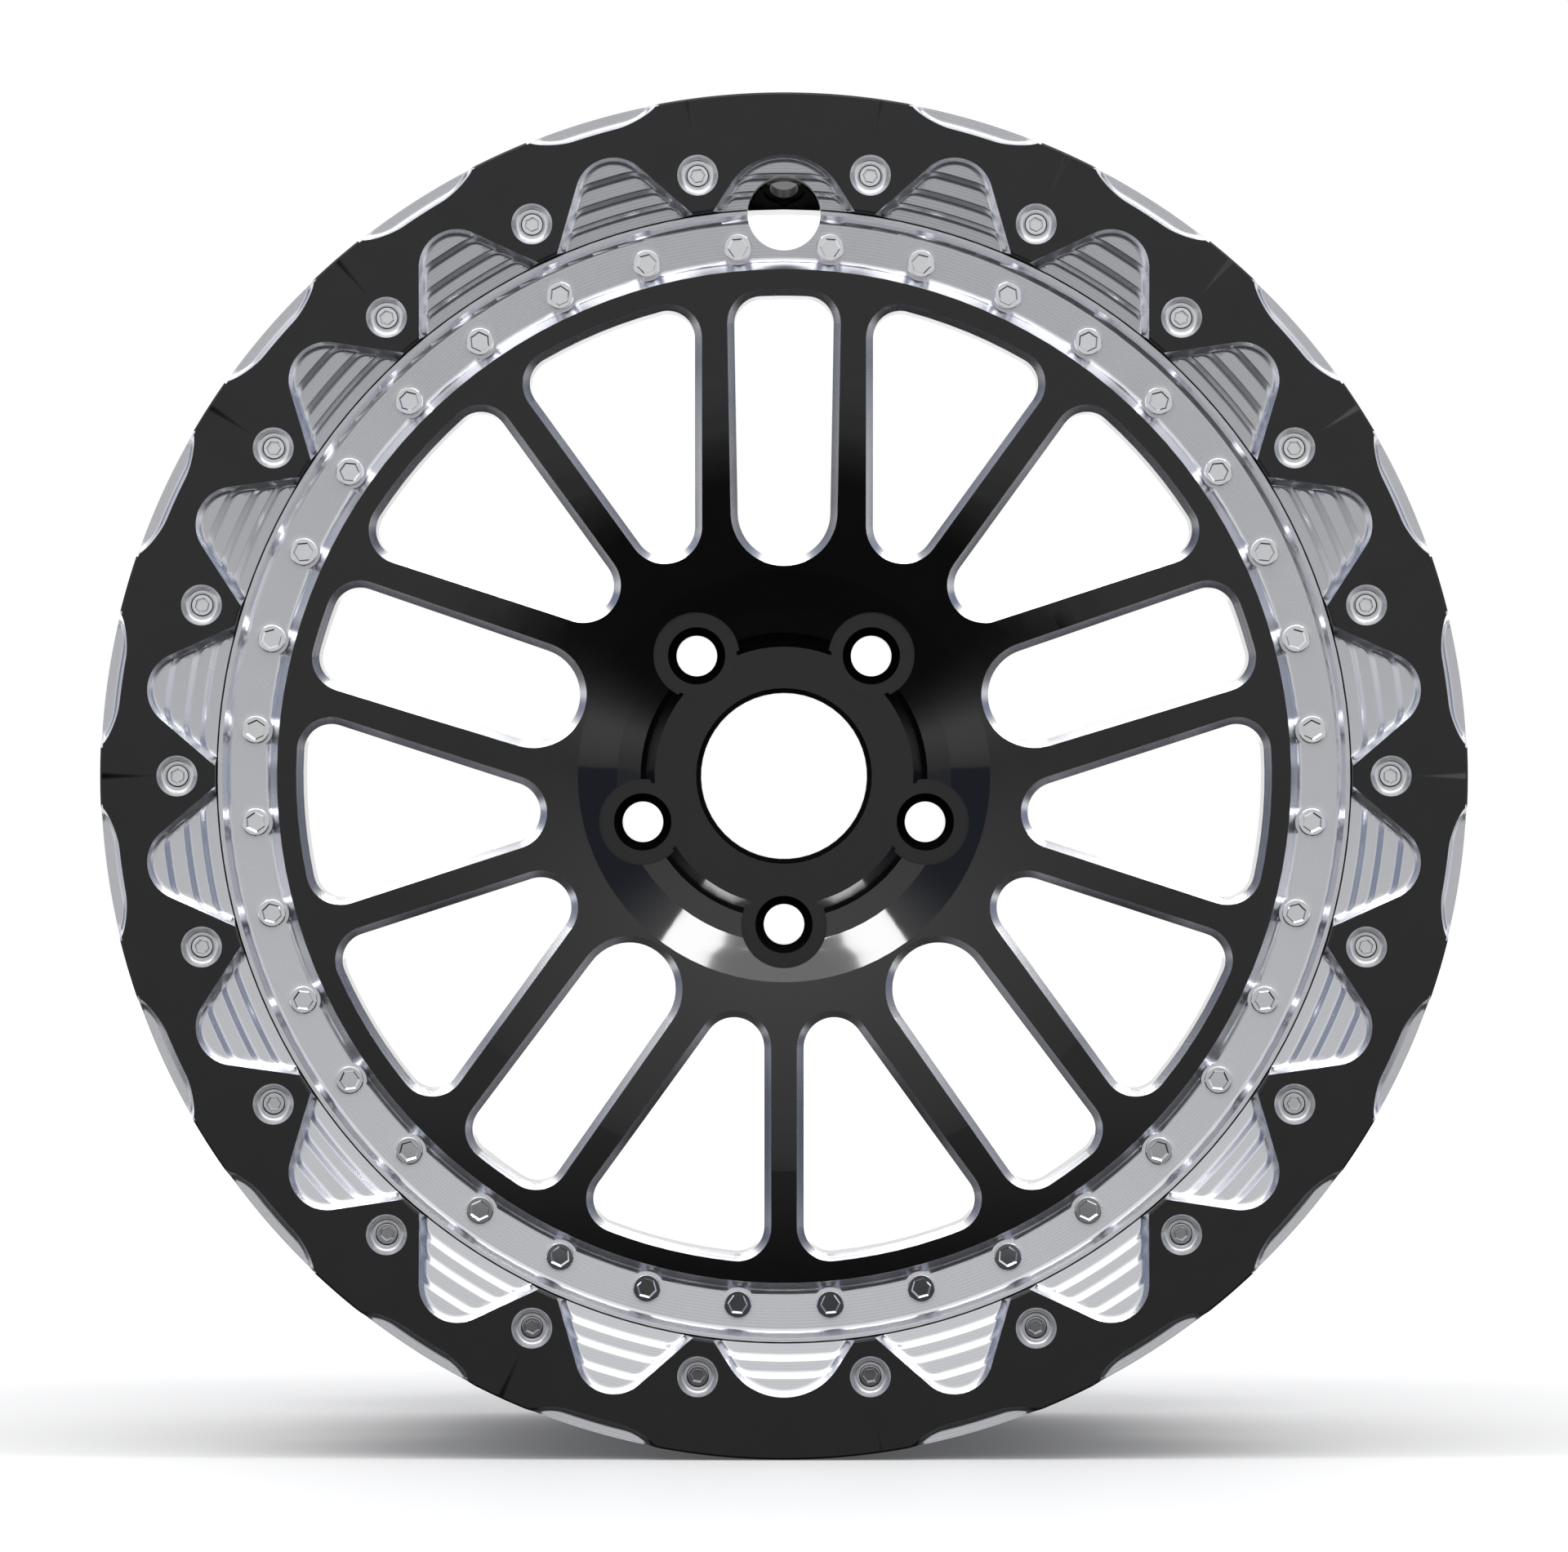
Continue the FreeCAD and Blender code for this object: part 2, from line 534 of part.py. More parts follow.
def beadlock_ring():
    """The clamp ring, with its crescents, edge scallops and screw recesses."""
    body = new_body("beadlock_ring")
    section = section_sketch(body, "RingSection")
    edge = "Sizes.outer_radius - Sizes.edge_break"
    register = "Sizes.register_radius + Sizes.pilot_gap"
    clamp = "Sizes.ring_depth + Sizes.register_step"
    polygon(section, (
        ("0", "Sizes.ring_bore + Sizes.bore_break"),
        ("0", edge),
        ("Sizes.edge_break", "Sizes.outer_radius"),
        (f"{clamp} - Sizes.edge_break", "Sizes.outer_radius"),
        (clamp, edge),
        (clamp, register),
        ("Sizes.ring_depth", register),
        ("Sizes.ring_depth", "Sizes.ring_bore"),
        ("Sizes.bore_break * 2", "Sizes.ring_bore"),
    ))
    revolve(body, "RingBlank", section)

    access = face_sketch(body, "AccessHole")
    circle(access, "Sizes.access_height", "Sizes.access_radius")
    pocket(body, "AccessCut", access)

    turn = number(SCREW_TURN)
    lean = "atan(Sizes.recess_taper / Sizes.recess_depth)"
    seat = face_sketch(body, "ScrewHeadPocket", turn=turn)
    circle(seat, "Sizes.screw_circle", "Sizes.screw_head + Sizes.hole_gap")
    through = face_sketch(body, "ScrewHole", turn=turn)
    circle(through, "Sizes.screw_circle", "Sizes.screw_radius + Sizes.hole_gap")
    mouth = face_sketch(body, "ScrewRecess", turn=turn)
    circle(mouth, "Sizes.screw_circle", "Sizes.recess_radius")
    cuts = [
        pocket(body, "RecessFloor", mouth, "Sizes.recess_depth", taper=lean),
        pocket(body, "HeadPocket", seat, SCREW_SEAT),
        pocket(body, "ShankHole", through),
    ]
    polar(body, "ScrewRecesses", cuts, "Sizes.crescent_count")

    short = crescent(body, "Short", 0.0, "Sizes.short_apex", TREAD_RISERS[1:])
    polar(body, "ShortCrescents", short, "2")
    pitch = 360 / number("Sizes.crescent_count")
    tall = crescent(body, "Tall", pitch, "Sizes.tall_apex", TREAD_RISERS)
    bite = face_sketch(body, "ScallopOutline", turn=pitch)
    scallop_outline(bite)
    tall.append(pocket(body, "Scallop", bite, "Sizes.scallop_floor"))
    side_count = "Sizes.crescent_count / 2 - 1"
    both_sides(body, "TallCrescents", tall, side_count, f"360 / Sizes.crescent_count * ({side_count} - 1)")
    return body


# Spoked centre


def window_fillet(side_line, reach, radius):
    """Centre of a corner that touches the outer arc from inside and a straight side.

    The side is given as a point, its direction and the unit vector into the window."""
    point, along, inward = side_line
    start = point + inward * radius
    middle = start.dot(along)
    span = math.sqrt((reach - radius) ** 2 - start.dot(start) + middle * middle)
    return start + along * (span - middle)


def slot_outline(sketch):
    """The narrow window inside a pair of spokes: a round inner end and two outer corners."""
    reach = number(WALL_OUTER)
    corner = number(WALL_CORNER)
    inner = number(SLOT_END)
    base = FreeCAD.Vector(0, number("Sizes.slot_inner + Sizes.slot_half_inner"), 0)
    across = number(CORNER_ACROSS)
    centre = FreeCAD.Vector(across, math.sqrt((reach - corner) ** 2 - across ** 2), 0)
    mirrored = FreeCAD.Vector(-centre.x, centre.y, 0)
    # The side touches the inner end and the outer corner.
    gap = centre - base
    lean = direction(FreeCAD.Vector(), gap) - math.degrees(math.asin((corner - inner) / gap.Length)) - 90
    out = FreeCAD.Vector(math.cos(math.radians(lean)), math.sin(math.radians(lean)), 0)
    low = base + out * inner
    high = centre + out * corner
    bearing = direction(FreeCAD.Vector(), centre)
    top = sketch.addGeometry(arc(FreeCAD.Vector(), reach, bearing, 180 - bearing), False)
    right_corner = sketch.addGeometry(arc(centre, corner, lean, bearing), False)
    right_side = sketch.addGeometry(Part.LineSegment(high, low), False)
    end = sketch.addGeometry(arc(base, inner, 180 - lean, 360 + lean), False)
    left_low = FreeCAD.Vector(-low.x, low.y, 0)
    left_high = FreeCAD.Vector(-high.x, high.y, 0)
    left_side = sketch.addGeometry(Part.LineSegment(left_low, left_high), False)
    left_corner = sketch.addGeometry(arc(mirrored, corner, 180 - bearing, 180 - lean), False)
    for first, second in (
        (top, right_corner), (right_corner, right_side), (right_side, end),
        (end, left_side), (left_side, left_corner), (left_corner, top),
    ):
        join(sketch, first, second, "Tangent")
    sketch.addConstraint(Sketcher.Constraint("Coincident", top, 3, -1, 1))
    bind(sketch, "Radius", (top,), WALL_OUTER)
    bind(sketch, "Radius", (right_corner,), WALL_CORNER)
    bind(sketch, "Radius", (left_corner,), WALL_CORNER)
    bind(sketch, "Radius", (end,), SLOT_END)
    fix_point(sketch, end, 3, "0", "Sizes.slot_inner + Sizes.slot_half_inner")
    bind(sketch, "DistanceX", (-1, 1, right_corner, 3), CORNER_ACROSS)
    bind(sketch, "DistanceX", (left_corner, 3, -1, 1), CORNER_ACROSS)


def wide_outline(sketch, side):
    """A wide window between a paired and a single spoke, right of the slot (side 1) or left (-1)."""
    reach = number(WALL_OUTER)
    corner = number(WALL_CORNER)
    nook = number(WIDE_NOOK)
    spread = math.radians(180 / number("Sizes.arm_count"))
    up = FreeCAD.Vector(0, 1, 0)
    pair_line = (FreeCAD.Vector(number(PAIR_WALL), 0, 0), up, FreeCAD.Vector(1, 0, 0))
    ray = FreeCAD.Vector(math.sin(spread), math.cos(spread), 0)
    inward = FreeCAD.Vector(-math.cos(spread), math.sin(spread), 0)
    single_line = (inward * number(SINGLE_WALL), ray, inward)
    pair_corner = window_fillet(pair_line, reach, corner)
    single_corner = window_fillet(single_line, reach, corner)
    # The inner corner touches both sides.
    across = pair_line[0].x + nook
    height = (nook + number(SINGLE_WALL) + across * math.cos(spread)) / math.sin(spread)
    nook_centre = FreeCAD.Vector(across, height, 0)
    pair_low = nook_centre - pair_line[2] * nook
    pair_high = pair_corner - pair_line[2] * corner
    single_low = nook_centre - inward * nook
    single_high = single_corner - inward * corner

    def flip(point):
        """A point on the drawn side of the slot."""
        return FreeCAD.Vector(side * point.x, point.y, 0)

    def rounded(centre, radius, start, end):
        """An arc drawn from one point to another the short way."""
        first = direction(flip(centre), flip(start))
        last = direction(flip(centre), flip(end))
        if (last - first) % 360 > 180:
            first, last = last, first
        return arc(flip(centre), radius, first, first + (last - first) % 360)

    origin = FreeCAD.Vector()
    pair_top = pair_corner * (reach / pair_corner.Length)
    single_top = single_corner * (reach / single_corner.Length)
    top = sketch.addGeometry(rounded(origin, reach, single_top, pair_top), False)
    near = sketch.addGeometry(rounded(single_corner, corner, single_high, single_top), False)
    single_side = sketch.addGeometry(Part.LineSegment(flip(single_low), flip(single_high)), False)
    inner = sketch.addGeometry(rounded(nook_centre, nook, pair_low, single_low), False)
    pair_side = sketch.addGeometry(Part.LineSegment(flip(pair_low), flip(pair_high)), False)
    far = sketch.addGeometry(rounded(pair_corner, corner, pair_top, pair_high), False)
    for first, second in (
        (top, near), (near, single_side), (single_side, inner),
        (inner, pair_side), (pair_side, far), (far, top),
    ):
        join(sketch, first, second, "Tangent")
    sketch.addConstraint(Sketcher.Constraint("Coincident", top, 3, -1, 1))
    bind(sketch, "Radius", (top,), WALL_OUTER)
    bind(sketch, "Radius", (near,), WALL_CORNER)
    bind(sketch, "Radius", (far,), WALL_CORNER)
    bind(sketch, "Radius", (inner,), WIDE_NOOK)
    sketch.addConstraint(Sketcher.Constraint("Vertical", pair_side))
    places = (-1, 1, pair_side, 1) if side > 0 else (pair_side, 1, -1, 1)
    bind(sketch, "DistanceX", places, PAIR_WALL)
    bind(sketch, "Angle", (single_side,), f"90 - {side} * 180 / Sizes.arm_count")
    bind(sketch, "Distance", (-1, 1, single_side), SINGLE_WALL)


def front_window_edges(shape):
    """The edges where the windows' walls meet the spokes' front face."""
    face_depth = number("Sizes.disc_face") - number(FRONT)
    outer = number("Sizes.disc_edge") - 1
    dish = number("Sizes.dish_radius") + 0.5
    flat = number("Sizes.flat_radius")
    dip = number("Sizes.spoke_dip")
    run = flat - number("Sizes.dish_radius")
    bend = (run * run + dip * dip) / (2 * dip)

    def on_front(point):
        radius = math.hypot(point.x, point.z)
        if not dish < radius < outer:
            return False
        inset = max(0.0, flat - radius)
        surface = face_depth + bend - math.sqrt(bend * bend - inset * inset)
        return abs(point.y - surface) < 0.02

    def is_front(edge):
        first, last = edge.ParameterRange
        samples = [edge.valueAt(first + (last - first) * share) for share in (0.05, 0.35, 0.65, 0.95)]
        if not all(on_front(point) for point in samples):
            return False
        radii = [math.hypot(point.x, point.z) for point in samples]
        whole_ring = max(radii) - min(radii) < 0.01 and abs(radii[0] - number(WALL_OUTER)) > 1
        return not whole_ring

    return [f"Edge{index}" for index, edge in enumerate(shape.Edges, 1) if is_front(edge)]


def centre_section(sketch):
    """Half the centre's section, with the spokes' dip as an arc that runs out of their flat."""
    dish_depth = "Sizes.disc_face + Sizes.spoke_dip"
    spigot = "Sizes.barrel_flange_bore - Sizes.pilot_gap"
    chamfer = "Sizes.hub_bore_chamfer"
    corners = (
        ("Sizes.disc_face", "Sizes.flat_radius"),
        ("Sizes.disc_face", "Sizes.disc_edge"),
        ("Sizes.channel_depth", "Sizes.channel_inner"),
        ("Sizes.channel_depth", "Sizes.channel_outer"),
        (LIP_DEPTH, f"{LIP_RADIUS} - Sizes.lip_width"),
        (LIP_DEPTH, LIP_RADIUS),
        (FLANGE_BACK, LIP_RADIUS),
        (FLANGE_BACK, spigot),
        (f"{FLANGE_BACK} + Sizes.spigot_length", spigot),
        ("Sizes.spoke_rear_depth", "Sizes.spoke_rear_radius"),
        (FRONT, "Sizes.hub_rear_radius"),
        (FRONT, f"Sizes.hub_bore + {chamfer} / 2"),
        (f"{FRONT} - {chamfer} / 2", "Sizes.hub_bore"),
        (f"Sizes.pad_depth + {chamfer}", "Sizes.hub_bore"),
        ("Sizes.pad_depth", f"Sizes.hub_bore + {chamfer}"),
        ("Sizes.pad_depth", "Sizes.pad_radius"),
        ("Sizes.ledge_depth", "Sizes.ledge_radius"),
        ("Sizes.step_depth", "Sizes.step_radius"),
        (dish_depth, "Sizes.dish_radius"),
    )
    points = [FreeCAD.Vector(number(across), number(up), 0) for across, up in corners]
    lines = []
    for start, end in zip(points, points[1:]):
        lines.append(sketch.addGeometry(Part.LineSegment(start, end), False))
    for line, following in zip(lines, lines[1:]):
        sketch.addConstraint(Sketcher.Constraint("Coincident", line, 2, following, 1))
    for line, (across, up) in zip(lines, corners):
        fix_point(sketch, line, 1, across, up)
    fix_point(sketch, lines[-1], 2, *corners[-1])
    run = points[0].y - points[-1].y
    dip = points[-1].x - points[0].x
    bend = (run * run + dip * dip) / (2 * dip)
    middle = FreeCAD.Vector(points[0].x + bend, points[0].y, 0)
    dish_bearing = direction(middle, points[-1]) % 360
    curve = sketch.addGeometry(arc(middle, bend, 180, dish_bearing), False)
    join(sketch, lines[0], curve, "Tangent")
    join(sketch, lines[-1], curve)


def channel_floor_edges(shape):
    """The circles that bound the bolt channel's floor."""
    depth = number("Sizes.channel_depth") - number(FRONT)
    radii = (number("Sizes.channel_inner"), number("Sizes.channel_outer"))
    names = []
    for index, edge in enumerate(shape.Edges, 1):
        if not isinstance(edge.Curve, Part.Circle):
            continue
        on_floor = abs(edge.Curve.Center.y - depth) < 0.01
        if on_floor and any(abs(edge.Curve.Radius - radius) < 0.01 for radius in radii):
            names.append(f"Edge{index}")
    return names


def center_disc():
    """The forged centre: hub, spokes and flange with the bolt channel."""
    body = new_body("center_disc")
    section = section_sketch(body, "CentreSection")
    centre_section(section)
    blank = revolve(body, "CentreBlank", section)
    fillet = body.newObject("PartDesign::Fillet", "ChannelFillet")
    fillet.Base = (blank, channel_floor_edges(blank.Shape))
    fillet.setExpression("Radius", "Sizes.channel_fillet")
    doc.recompute()

    half_turn = 180 / number("Sizes.lug_count")
    groove = face_sketch(body, "LugGrooveCircle", turn=half_turn)
    circle(groove, "Sizes.lug_circle", "Sizes.lug_boss + Sizes.lug_groove")
    groove_cut = pocket(body, "LugGroove", groove, "Sizes.lug_boss_depth + Sizes.lug_groove_depth")
    polar(body, "LugGrooves", [groove_cut], "Sizes.lug_count")
    boss = face_sketch(body, "LugBossCircle", depth="Sizes.pad_depth", turn=half_turn)
    circle(boss, "Sizes.lug_circle", "Sizes.lug_boss")
    raised = pad(body, "LugBoss", boss, "Sizes.pad_depth - Sizes.lug_boss_depth")
    polar(body, "LugBosses", [raised], "Sizes.lug_count")
    drill = face_sketch(body, "LugHoleCircle", turn=half_turn)
    circle(drill, "Sizes.lug_circle", "Sizes.lug_hole")
    drilled = pocket(body, "LugHole", drill)
    polar(body, "LugHoles", [drilled], "Sizes.lug_count")
    seat_length = "(Sizes.lug_seat - Sizes.lug_hole) / tan(Sizes.lug_seat_angle)"
    seat = cone_cut(
        body, "LugSeat", "-Sizes.lug_circle", f"Sizes.lug_boss_depth + {seat_length}",
        ("Sizes.lug_hole", "Sizes.lug_seat"), seat_length,
    )
    polar(body, "LugSeats", [seat], "Sizes.lug_count")

    rear = face_sketch(body, "RearPocketCircle", depth=FRONT)
    circle(rear, "Sizes.lug_circle", "Sizes.pocket_radius")
    hollow = pocket(body, "RearPocket", rear, "Sizes.pocket_depth", from_back=True)
    polar(body, "RearPockets", [hollow], "Sizes.lug_count")

    access = face_sketch(body, "CentreAccess")
    circle(access, "Sizes.access_height", "Sizes.access_radius")
    pocket(body, "CentreAccessCut", access)

    outline = face_sketch(body, "WindowOutlines")
    slot_outline(outline)
    wide_outline(outline, 1)
    wide_outline(outline, -1)
    windows = pocket(body, "Windows", outline)
    pattern = polar(body, "AllWindows", [windows], "Sizes.arm_count")
    chamfer = body.newObject("PartDesign::Chamfer", "WindowChamfer")
    chamfer.Base = (pattern, front_window_edges(pattern.Shape))
    chamfer.setExpression("Size", "Sizes.window_chamfer")
    doc.recompute()

    turn = number(BOLT_TURN)
    spot = face_sketch(body, "SpotfaceCircle", turn=turn)
    circle(spot, "Sizes.bolt_circle", "Sizes.spotface_radius")
    hole = face_sketch(body, "BoltHoleCircle", turn=turn)
    circle(hole, "Sizes.bolt_circle", "Sizes.bolt_radius + Sizes.hole_gap")
    cuts = [pocket(body, "Spotface", spot, "Sizes.channel_depth"), pocket(body, "BoltHole", hole)]
    polar(body, "BoltSeats", cuts, "Sizes.bolt_count")
    return body


# Barrel


def barrel():
    """The one-piece barrel: front face, inner flange, clamp shoulder, drop centre and rear flange."""
    body = new_body("barrel")
    section = section_sketch(body, "BarrelSection")
    flange_end = f"{REAR_BEAD} + Sizes.flange_depth"
    flange_edge = "Sizes.outer_radius - Sizes.flange_round"
    slope_lean = f"sqrt(1 + ({SLOPE_FALL} / Sizes.slope_length) ^ 2)"
    slope_out = f"Sizes.throat_radius + Sizes.wall * {slope_lean}"
    foot = f"{CLAMP_FACE} + Sizes.shoulder_thickness + Sizes.wall / 2"
    foot_fall = f"({foot} - ({THROAT_END})) * {SLOPE_FALL} / Sizes.slope_length"
    seat_low = "Sizes.rear_seat_radius - Sizes.rear_seat_taper"
    hump_start = f"{REAR_SEAT_START} - Sizes.hump_length"
    polygon(section, (
        (FLANGE_BACK, "Sizes.barrel_flange_bore"),
        (FLANGE_BACK, f"{LIP_RADIUS} + Sizes.pilot_gap"),
        ("Sizes.ring_depth", f"{LIP_RADIUS} + Sizes.pilot_gap"),
        ("Sizes.ring_depth", "Sizes.register_radius"),
        (CLAMP_FACE, "Sizes.register_radius"),
        (CLAMP_FACE, "Sizes.shoulder_radius"),
        (f"{CLAMP_FACE} + Sizes.shoulder_thickness", "Sizes.shoulder_radius"),
        (foot, f"{slope_out} - {foot_fall}"),
        (f"{WELL_START} + Sizes.wall / 3", "Sizes.well_radius + Sizes.wall"),
        (WELL_END, "Sizes.well_radius + Sizes.wall"),
        (RAMP_END, "Sizes.rear_radius + Sizes.wall"),
        (f"{hump_start} - Sizes.hump_length", "Sizes.rear_radius + Sizes.wall"),
        (hump_start, f"{seat_low} + Sizes.hump_height"),
        (f"{REAR_SEAT_START} - Sizes.hump_length / 2", f"{seat_low} + Sizes.hump_height"),
        (REAR_SEAT_START, seat_low),
        (REAR_BEAD, "Sizes.rear_seat_radius"),
        (REAR_BEAD, flange_edge),
        (f"{REAR_BEAD} + Sizes.flange_round", "Sizes.outer_radius"),
        (flange_end, "Sizes.outer_radius"),
        (flange_end, f"{flange_edge} - Sizes.wall"),
        (f"{flange_end} - Sizes.flange_round", f"{flange_edge} - Sizes.wall"),
        (f"{REAR_BEAD} + Sizes.wall", "Sizes.rear_seat_radius - Sizes.wall"),
        (f"{REAR_SEAT_START} - Sizes.hump_length", f"{seat_low} - Sizes.wall"),
        (f"{hump_start} - Sizes.hump_length * 2", "Sizes.rear_radius"),
        (RAMP_END, "Sizes.rear_radius"),
        (WELL_END, "Sizes.well_radius"),
        (WELL_START, "Sizes.well_radius"),
        (THROAT_END, "Sizes.throat_radius"),
        (BARREL_FLANGE_BACK, "Sizes.throat_radius"),
        (BARREL_FLANGE_BACK, "Sizes.barrel_flange_bore"),
    ))
    revolve(body, "BarrelBlank", section)

    bolt = face_sketch(body, "BarrelBoltCircle", turn=number(BOLT_TURN))
    circle(bolt, "Sizes.bolt_circle", "Sizes.bolt_radius + Sizes.hole_gap")
    bolt_hole = pocket(body, "BarrelBoltHole", bolt, BARREL_FLANGE_BACK)
    polar(body, "BarrelBoltHoles", [bolt_hole], "Sizes.bolt_count")

    turn = number(SCREW_TURN)
    sleeve = face_sketch(body, "InsertCircle", turn=turn)
    circle(sleeve, "Sizes.screw_circle", "Sizes.insert_radius + Sizes.thread_gap")
    insert_hole = pocket(body, "InsertHole", sleeve, "Sizes.ring_depth + Sizes.insert_length")
    tip = face_sketch(body, "ScrewTipCircle", turn=turn)
    circle(tip, "Sizes.screw_circle", "Sizes.screw_radius + Sizes.hole_gap")
    tip_hole = pocket(body, "ScrewTipHole", tip, f"{SCREW_SEAT} + Sizes.screw_length + Sizes.tip_room")
    polar(body, "InsertHoles", [insert_hole, tip_hole], "Sizes.crescent_count")

    access = face_sketch(body, "BarrelAccess")
    circle(access, "Sizes.access_height", "Sizes.access_radius")
    pocket(body, "BarrelAccessCut", access, BARREL_FLANGE_BACK)
    valve_cut(body)
    return body


def valve_cut(body):
    """The valve hole, square to the barrel's front slope, with a flat round its inner end."""
    slant = f"sqrt(Sizes.slope_length ^ 2 + {SLOPE_FALL} ^ 2)"
    along = f"Sizes.valve_along / {slant}"
    tilt = math.degrees(math.atan(number(f"{SLOPE_FALL} / Sizes.slope_length")))
    for name, radius, outer in (
        ("ValveHole", "Sizes.valve_hole", "Sizes.wall * 2"),
        ("ValveSpotface", "Sizes.valve_spotface", "Sizes.valve_spotface_depth"),
    ):
        cut = body.newObject("PartDesign::SubtractiveCylinder", name)
        cut.Refine = False
        cut.AttachmentSupport = (origin_feature(body, "XY_Plane"), [""])
        cut.MapMode = "FlatFace"
        leaning = FreeCAD.Rotation(FreeCAD.Vector(1, 0, 0), -tilt)
        cut.AttachmentOffset = FreeCAD.Placement(FreeCAD.Vector(), leaning)
        cut.setExpression("Radius", radius)
        cut.setExpression("Height", f"Sizes.wall + {outer}")
        depth = f"{THROAT_END} + {along} * Sizes.slope_length - Sizes.wall * {SLOPE_FALL} / {slant}"
        height = f"Sizes.throat_radius - {along} * {SLOPE_FALL} - Sizes.wall * Sizes.slope_length / {slant}"
        cut.setExpression("AttachmentOffset.Base.y", f"{depth} - {FRONT}")
        cut.setExpression("AttachmentOffset.Base.z", height)
        doc.recompute()


# Fasteners


def turned_group(label, section_corners, axis_height, count, turn, socket):
    """A ring of equal turned screws with a hexagon socket, as separate solids of one body."""
    body = new_body(label)
    section = section_sketch(body, f"{label}_section")
    polygon(section, section_corners)
    axis = section.addGeometry(
        Part.LineSegment(
            FreeCAD.Vector(0, number(axis_height), 0), FreeCAD.Vector(10, number(axis_height), 0)
        ),
        True,
    )
    section.addConstraint(Sketcher.Constraint("Horizontal", axis))
    fix_point(section, axis, 1, "0", axis_height)
    blank = revolve(body, f"{label}_blank", section, "Axis0")
    flats, socket_depth, face = socket
    hexagon_sketch = face_sketch(body, f"{label}_hexagon")
    hexagon(hexagon_sketch, axis_height, flats)
    key = pocket(body, f"{label}_socket", hexagon_sketch, f"{face} + {socket_depth}")
    polar(body, f"{label}_ring", [blank, key], count)
    turn_body(body, turn)
    return body


def padded_group(label, draw, back, height, count, turn):
    """A ring of equal flat pieces, drawn on their back plane and raised, as solids of one body."""
    body = new_body(label)
    sketch = face_sketch(body, f"{label}_outline", depth=back)
    draw(sketch)
    blank = pad(body, f"{label}_blank", sketch, height)
    polar(body, f"{label}_ring", [blank], count)
    turn_body(body, turn)
    return body


def turn_body(body, turn):
    """Turn a whole group about the wheel's axis to its place between the features it meets."""
    body.Placement = FreeCAD.Placement(
        FreeCAD.Vector(), FreeCAD.Rotation(FreeCAD.Vector(0, 1, 0), number(turn))
    )
    doc.recompute()


def assembly_bolts():
    """The bolts that hold the centre to the barrel."""
    up = "Sizes.bolt_circle"
    head = f"{up} + Sizes.bolt_head"
    face = "Sizes.channel_depth - Sizes.bolt_head_height"
    tail = f"{NUT_BACK} + Sizes.bolt_tail"
    corners = (
        (face, up),
        (face, f"{head} - Sizes.bolt_head_chamfer"),
        (f"{face} + Sizes.bolt_head_chamfer", head),
        ("Sizes.channel_depth", head),
        ("Sizes.channel_depth", f"{up} + Sizes.bolt_radius"),
        (tail, f"{up} + Sizes.bolt_radius"),
        (tail, up),
    )
    socket = ("Sizes.bolt_socket", "Sizes.bolt_socket_depth", face)
    return turned_group("assembly_bolts", corners, up, "Sizes.bolt_count", BOLT_TURN, socket)


def beadlock_bolts():
    """The screws that hold the ring to the barrel."""
    up = "Sizes.screw_circle"
    head = f"{up} + Sizes.screw_head"
    shank = f"{up} + Sizes.screw_radius"
    tail = f"{SCREW_SEAT} + Sizes.screw_length"
    corners = (
        (SCREW_FACE, up),
        (SCREW_FACE, head),
        (SCREW_SEAT, head),
        (SCREW_SEAT, shank),
        (tail, shank),
        (tail, up),
    )
    socket = ("Sizes.screw_socket", "Sizes.screw_socket_depth", SCREW_FACE)
    return turned_group("beadlock_bolts", corners, up, "Sizes.crescent_count", SCREW_TURN, socket)


def ring_drawing(up, outside, inside):
    """A drawing of two circles round one centre."""
    def draw(sketch):
        circle(sketch, up, outside)
        circle(sketch, up, inside)
    return draw


def assembly_washers():
    """The washers behind the barrel's flange."""
    draw = ring_drawing("Sizes.bolt_circle", "Sizes.washer_radius", "Sizes.bolt_radius + Sizes.hole_gap")
    return padded_group(
        "assembly_washers", draw, NUT_SEAT, "Sizes.washer_thickness", "Sizes.bolt_count", BOLT_TURN
    )


def assembly_nuts():
    """The nuts on the assembly bolts."""
    def draw(sketch):
        hexagon(sketch, "Sizes.bolt_circle", "Sizes.nut_flats")
        circle(sketch, "Sizes.bolt_circle", "Sizes.bolt_radius + Sizes.thread_gap")
    return padded_group("assembly_nuts", draw, NUT_BACK, "Sizes.nut_height", "Sizes.bolt_count", BOLT_TURN)


def beadlock_inserts():
    """The threaded inserts in the barrel's front face."""
    draw = ring_drawing("Sizes.screw_circle", "Sizes.insert_radius", "Sizes.screw_radius + Sizes.thread_gap")
    back = "Sizes.ring_depth + Sizes.insert_length"
    return padded_group(
        "beadlock_inserts", draw, back, "Sizes.insert_length", "Sizes.crescent_count", SCREW_TURN
    )


def export(bodies):
    """Check every object of the document, then write each body to its own file."""
    doc.recompute()
    for item in doc.Objects:
        if "Invalid" in item.State or "Error" in item.State:
            raise RuntimeError(f"{item.Name} failed: {item.State}")
    for body in bodies:
        if body.Shape.isNull() or not body.Shape.isValid():
            raise RuntimeError(f"{body.Label} has no valid shape")
    os.makedirs("parts", exist_ok=True)
    for body in bodies:
        body.Shape.exportStep(f"parts/{body.Label}.step")
        print(body.Label, len(body.Shape.Solids), "solids,", round(body.Shape.Volume / 1000, 1), "cm3")


export([
    beadlock_ring(),
    center_disc(),
    barrel(),
    beadlock_bolts(),
    beadlock_inserts(),
    assembly_bolts(),
    assembly_washers(),
    assembly_nuts(),
])
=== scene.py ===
import math

import bpy
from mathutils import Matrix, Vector
from mathutils.geometry import delaunay_2d_cdt


